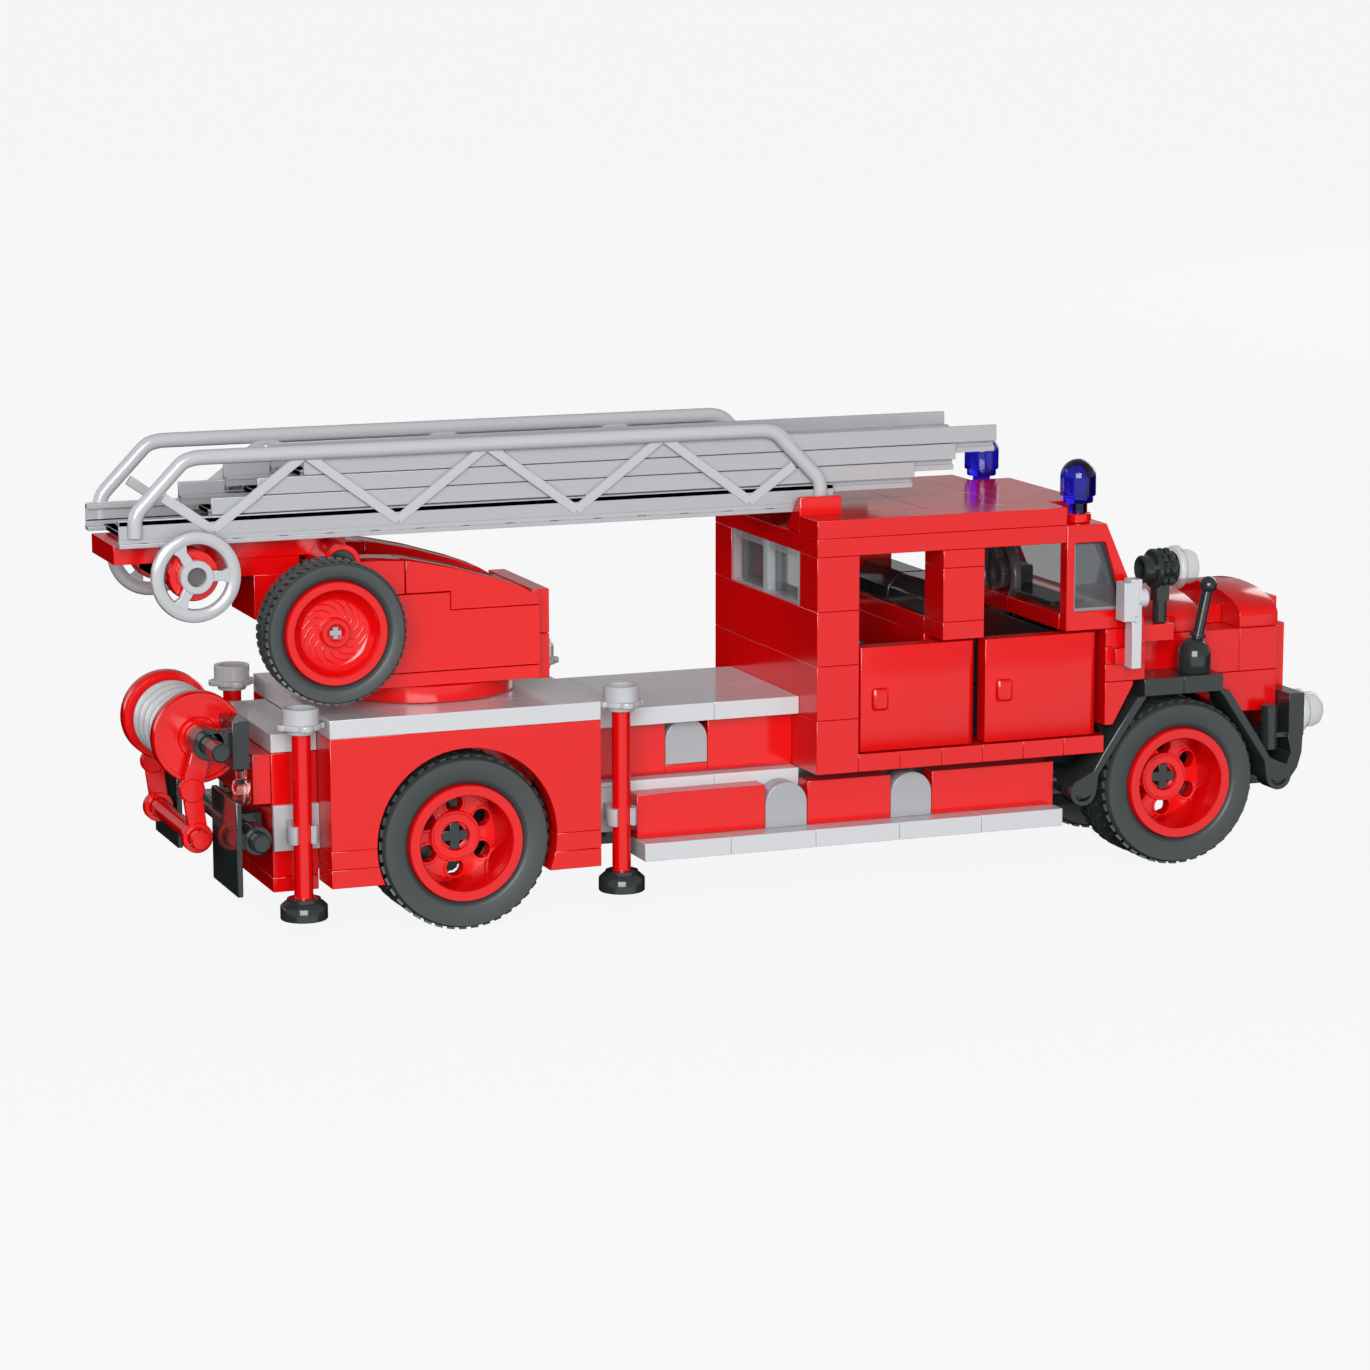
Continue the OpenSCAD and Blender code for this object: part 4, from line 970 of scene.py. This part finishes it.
def reel():
    p = Part("hose_reel_flanges")
    x, z = REEL
    flange = [(1.7, 2.8), (1.7, 0.0), (3.4, 0.0), (3.6, 0.45), (6.9, 0.45), (7.0, 0.0), (7.6, 0.0),
            (7.8, 0.3), (7.8, 2.5), (7.6, 2.8), (1.7, 2.8)]
    for y, axis in ((1.5, "y"), (4.5, "-y")):
        p.add(turned(flange, at(x, y, z), axis, 64), RED, 0)
    w = 2.3 * STUD_MM
    prof = [(1.7, 0), (5.6, 0)]
    n = 5
    for i in range(n):
        y0 = 0.5 + (w - 1.0) * i / n
        step = (w - 1.0) / n
        for t in range(0, 11):
            a = math.pi * t / 10
            prof.append((5.55 + 1.05 * math.sin(a) ** 0.7, y0 + step * t / 10))
    prof += [(5.6, w), (1.7, w), (1.7, 0)]
    p.add(turned(prof, at(x, 1.85, z), "y", 64), GREY, 0)
    p.done("hose_reel", "light", "hose_reel")
    p = Part("reel_levers")
    for y0, y1 in ((1.23, 1.44), (4.56, 4.77)):
        w = (y1 - y0) * STUD_MM
        p.add(collar(1.65, 2.6, 0, w, at(x, y0, z), "y", 0.15), RED, 0)
        p.add(side_slab([(x - 0.22, z - 0.55), (x + 0.22, z - 0.55), (x, 1.3), (x - 0.45, 1.3)], y0 + 0.02,
                y1 - 0.02, 0), RED, 0.2)
        p.add(disc(2.2, 0, w, at(x - 0.23, y0, 1.2), "y", 0.3), RED, 0)
        p.add(side_slab([(x - 0.43, 1.1), (x - 0.02, 1.1), (x + 0.08, -0.95), (x - 0.32, -0.95)], y0 + 0.025,
                y1 - 0.025, 0), RED, 0.2)
        p.add(collar(1.65, 2.6, 0, w, at(x - 0.14, y0, -1.35), "y", 0.15), RED, 0)
    p.add(rod(at(x - 0.14, 0.95, -1.35), at(x - 0.14, 5.05, -1.35), 1.6), RED, 0)
    p.done("chassis", "red", "reel_arms")
    p = Part("reel_brackets")
    p.add(brick(x + 0.45, x + 0.81, 0.5, 1.5, 2.5, 5.05, 0.02), BLACK)
    p.add(brick(x + 0.76, -13.4, 1.03, 1.47, 2.56, 2.89, 0), BLACK)
    p.add(collar(1.6, 2.68, 0, 4, at(x, 0.7, z), "y"), BLACK, 0)
    p.add(brick(x + 0.1, x + 0.54, 0.7, 1.2, 3.25, 4.45, 0), BLACK)
    p.both()
    p.add(rod(at(x, -0.3, z), at(x, 6.3, z), 1.58, 0.25), BLACK, 0)
    p.done("chassis", "black", "reel_axle")


def rear_lights_and_flaps():
    p = Part("tail_light_pair")
    p.add(turned([(0, 0), (1.3, 0), (1.53, 0.3), (1.53, 3.5), (1.0, 4.0), (0.98, 5.55), (0, 5.6)],
            at(-13.78, 0.5, 0.75), "z", 32), PINK, 0)
    p.both().done("chassis", "pink", "tail_lights")
    p = Part("mud_flap_plates")
    p.add(brick(-14.17, -14.04, -0.5, 1.5, -3.7, 1.3, 0.02), BLACK, 0.2)
    p.add(collar(1.6, 2.42, 0, 4.8, at(-13.66, -0.3, -0.9), "y"), BLACK, 0)
    p.add(brick(-14.07, -13.85, -0.28, 0.28, -1.3, -0.5, 0), BLACK)
    p.add(brick(-13.76, -13.06, 1.6, 2.1, -1.35, -0.45, 0), BLACK)
    p.both()
    p.add(rod(at(-13.66, -0.62, -0.9), at(-13.66, 6.62, -0.9), 1.6, 0.3), BLACK, 0)
    p.done("chassis", "black", "mud_flaps")


def under_frame():
    p = Part("chassis_bricks")
    for x0, x1 in ((-12, -8), (-8, -4), (-4, 0), (0, 4), (4, 8), (8, 10.2)):
        for y0, y1 in ((2, 3), (3, 4)):
            p.add(brick(x0, x1, y0, y1, -4, -0.75), BLACK)
    for x0, x1 in ((-12, -9), (-9, -6)):
        for y0, y1 in ((1, 3), (3, 5)):
            p.add(brick(x0, x1, y0, y1, 3, 3.98), BLACK)
    p.add(brick(-12, -6, 2, 4, -0.7, 3), BLACK)
    p.add(brick(-6.5, -1, 1.82, 4.18, -0.3, 2.98), BLACK)
    for x0, x1 in ((-6, -3), (-3, 1), (1, 5)):
        for y0, y1 in ((1, 3), (3, 5)):
            p.add(brick(x0, x1, y0, y1, -3, -1), BLACK)
    p.add(brick(-1, 5, 1, 5, -1, 0), BLACK)
    p.add(brick(6, 10.2, 2, 4, -0.7, 1.08), BLACK)
    for y0 in (1.2, 3.9):
        p.add(brick(4.95, 5.9, y0, y0 + 0.9, -2.88, -1.52), BLACK)
    for s in (-1, 1):
        outer, inner = (at(FRONT_AXLE_X - 2.49, 3 + s * reach, -2.2) for reach in (2.88, 1.7))
        p.add(rod(outer, inner, 1.6), BLACK, 0)
    p.done("chassis", "black", "chassis_frame")


# ------------------------------------------------------------------ build
rear_body()
decks()
lockers()
tail()
cab_body()
for door_name, door_x1 in (("door_front", 6), ("door_rear", 3)):
    cab_door(door_name + "_right", door_x1, False)
    cab_door(door_name + "_left", door_x1, True)
windscreen()
rear_windows()
cab_inside()
bonnet()
radiator()
fenders()
searchlight()
mirrors_and_poles()
road_wheels("front", FRONT_AXLE_X, "front_wheels")
road_wheels("rear", REAR_AXLE_X, "rear_wheels")
turret_wheel()
turret()
ladder_base()
for section in (2, 3, 4):
    ladder_section(section)
ladder_mount()
for end, jack_x in (("front", -5.45), ("rear", -12.55)):
    jack("jack_" + end + "_right", jack_x, False)
    jack("jack_" + end + "_left", jack_x, True)
jack_clip_set()
reel()
rear_lights_and_flaps()
under_frame()


# ------------------------------------------------------------------ studio
def paper():
    m = bpy.data.materials.new("white_studio_paper")
    m.use_nodes = True
    shader = m.node_tree.nodes["Principled BSDF"]
    shader.inputs["Base Color"].default_value = (0.05, 0.05, 0.05, 1)
    shader.inputs["Roughness"].default_value = 1.0
    shader.inputs["Specular IOR Level"].default_value = 0.0
    shader.inputs["Emission Color"].default_value = (1, 1, 1, 1)
    shader.inputs["Emission Strength"].default_value = 0.9
    return m


def room():
    """Soft overhead light, and a white card low down in front of the object."""
    world = bpy.data.worlds.new("studio")
    bpy.context.scene.world = world
    world.use_nodes = True
    nt = world.node_tree
    split = add_node(nt, "SeparateXYZ", links={"Vector": add_node(nt, "TexCoord")["Generated"]})
    bands = []
    for axis, start, end, low, high in (
            ("Z", 0.0, 0.9, 0.45, 0.25),     # the sky, brighter at the horizon
            ("Z", -0.02, 0.0, 0.0, 1.0),     # only above the horizon
            ("Z", 0.0, -0.02, 0.0, 0.85),    # the card, just below the horizon
            ("Z", -0.5, -0.42, 0.0, 1.0),    # its lower edge
            ("Y", -0.5, -0.75, 0.0, 1.0)):   # only in front
        band = {"From Min": start, "From Max": end, "To Min": low, "To Max": high}
        bands.append(add_node(nt, "MapRange", band, {"Value": split[axis]})["Result"])
    sky = add_node(nt, "Math", links={0: bands[0], 1: bands[1]}, operation="MULTIPLY")["Value"]
    card = add_node(nt, "Math", links={0: bands[2], 1: bands[3]}, operation="MULTIPLY")["Value"]
    card = add_node(nt, "Math", links={0: card, 1: bands[4]}, operation="MULTIPLY")["Value"]
    total = add_node(nt, "Math", links={0: sky, 1: card}, operation="ADD")["Value"]
    back = nt.nodes["Background"]
    back.inputs["Color"].default_value = (1, 1, 1, 1)
    nt.links.new(total, back.inputs["Strength"])


def lamp(name, where, size, power, aim=(0, 0, 0.04)):
    data = bpy.data.lights.new(name, "AREA")
    data.shape = "RECTANGLE"
    data.size, data.size_y = size
    data.energy = power
    obj = bpy.data.objects.new(name, data)
    bpy.context.scene.collection.objects.link(obj)
    obj.location = where
    obj.rotation_euler = (Vector(aim) - Vector(where)).to_track_quat("-Z", "Y").to_euler()


def studio():
    bm = bmesh.new()
    bmesh.ops.create_grid(bm, x_segments=1, y_segments=1, size=30)
    mesh = bpy.data.meshes.new("floor")
    bm.to_mesh(mesh)
    bm.free()
    mesh.materials.append(paper())
    floor = bpy.data.objects.new("studio_floor", mesh)
    bpy.context.scene.collection.objects.link(floor)
    floor.visible_glossy = False
    floor.visible_diffuse = False
    room()
    lamp("key_softbox", (-0.45, -1.25, 0.42), (0.9, 0.7), 19)
    lamp("rear_softbox_left", (-1.2, 0.9, 0.5), (0.8, 0.8), 5)
    lamp("rear_softbox_right", (1.2, 0.9, 0.5), (0.8, 0.8), 5)


AZIMUTH, ELEVATION, ROLL = -21.227, 10.442, -0.07
CAMERA_AT = (-0.26536, -0.66363, 0.16644)
SENSOR_MM, LENS_MM = 36, 106.82


def camera():
    az, el, roll = (math.radians(angle) for angle in (AZIMUTH, ELEVATION, ROLL))
    back = Vector((math.sin(az) * math.cos(el), -math.cos(az) * math.cos(el), math.sin(el)))
    right = Vector((math.cos(az), math.sin(az), 0))
    up = back.cross(right)
    data = bpy.data.cameras.new("camera")
    data.sensor_width = SENSOR_MM
    data.lens = LENS_MM
    obj = bpy.data.objects.new("camera", data)
    bpy.context.scene.collection.objects.link(obj)
    turn = Matrix((right, up, back)).transposed().to_4x4() @ Matrix.Rotation(roll, 4, "Z")
    obj.matrix_world = Matrix.Translation(CAMERA_AT) @ turn
    bpy.context.scene.camera = obj
    bpy.context.scene.view_settings.view_transform = "Standard"


studio()
camera()
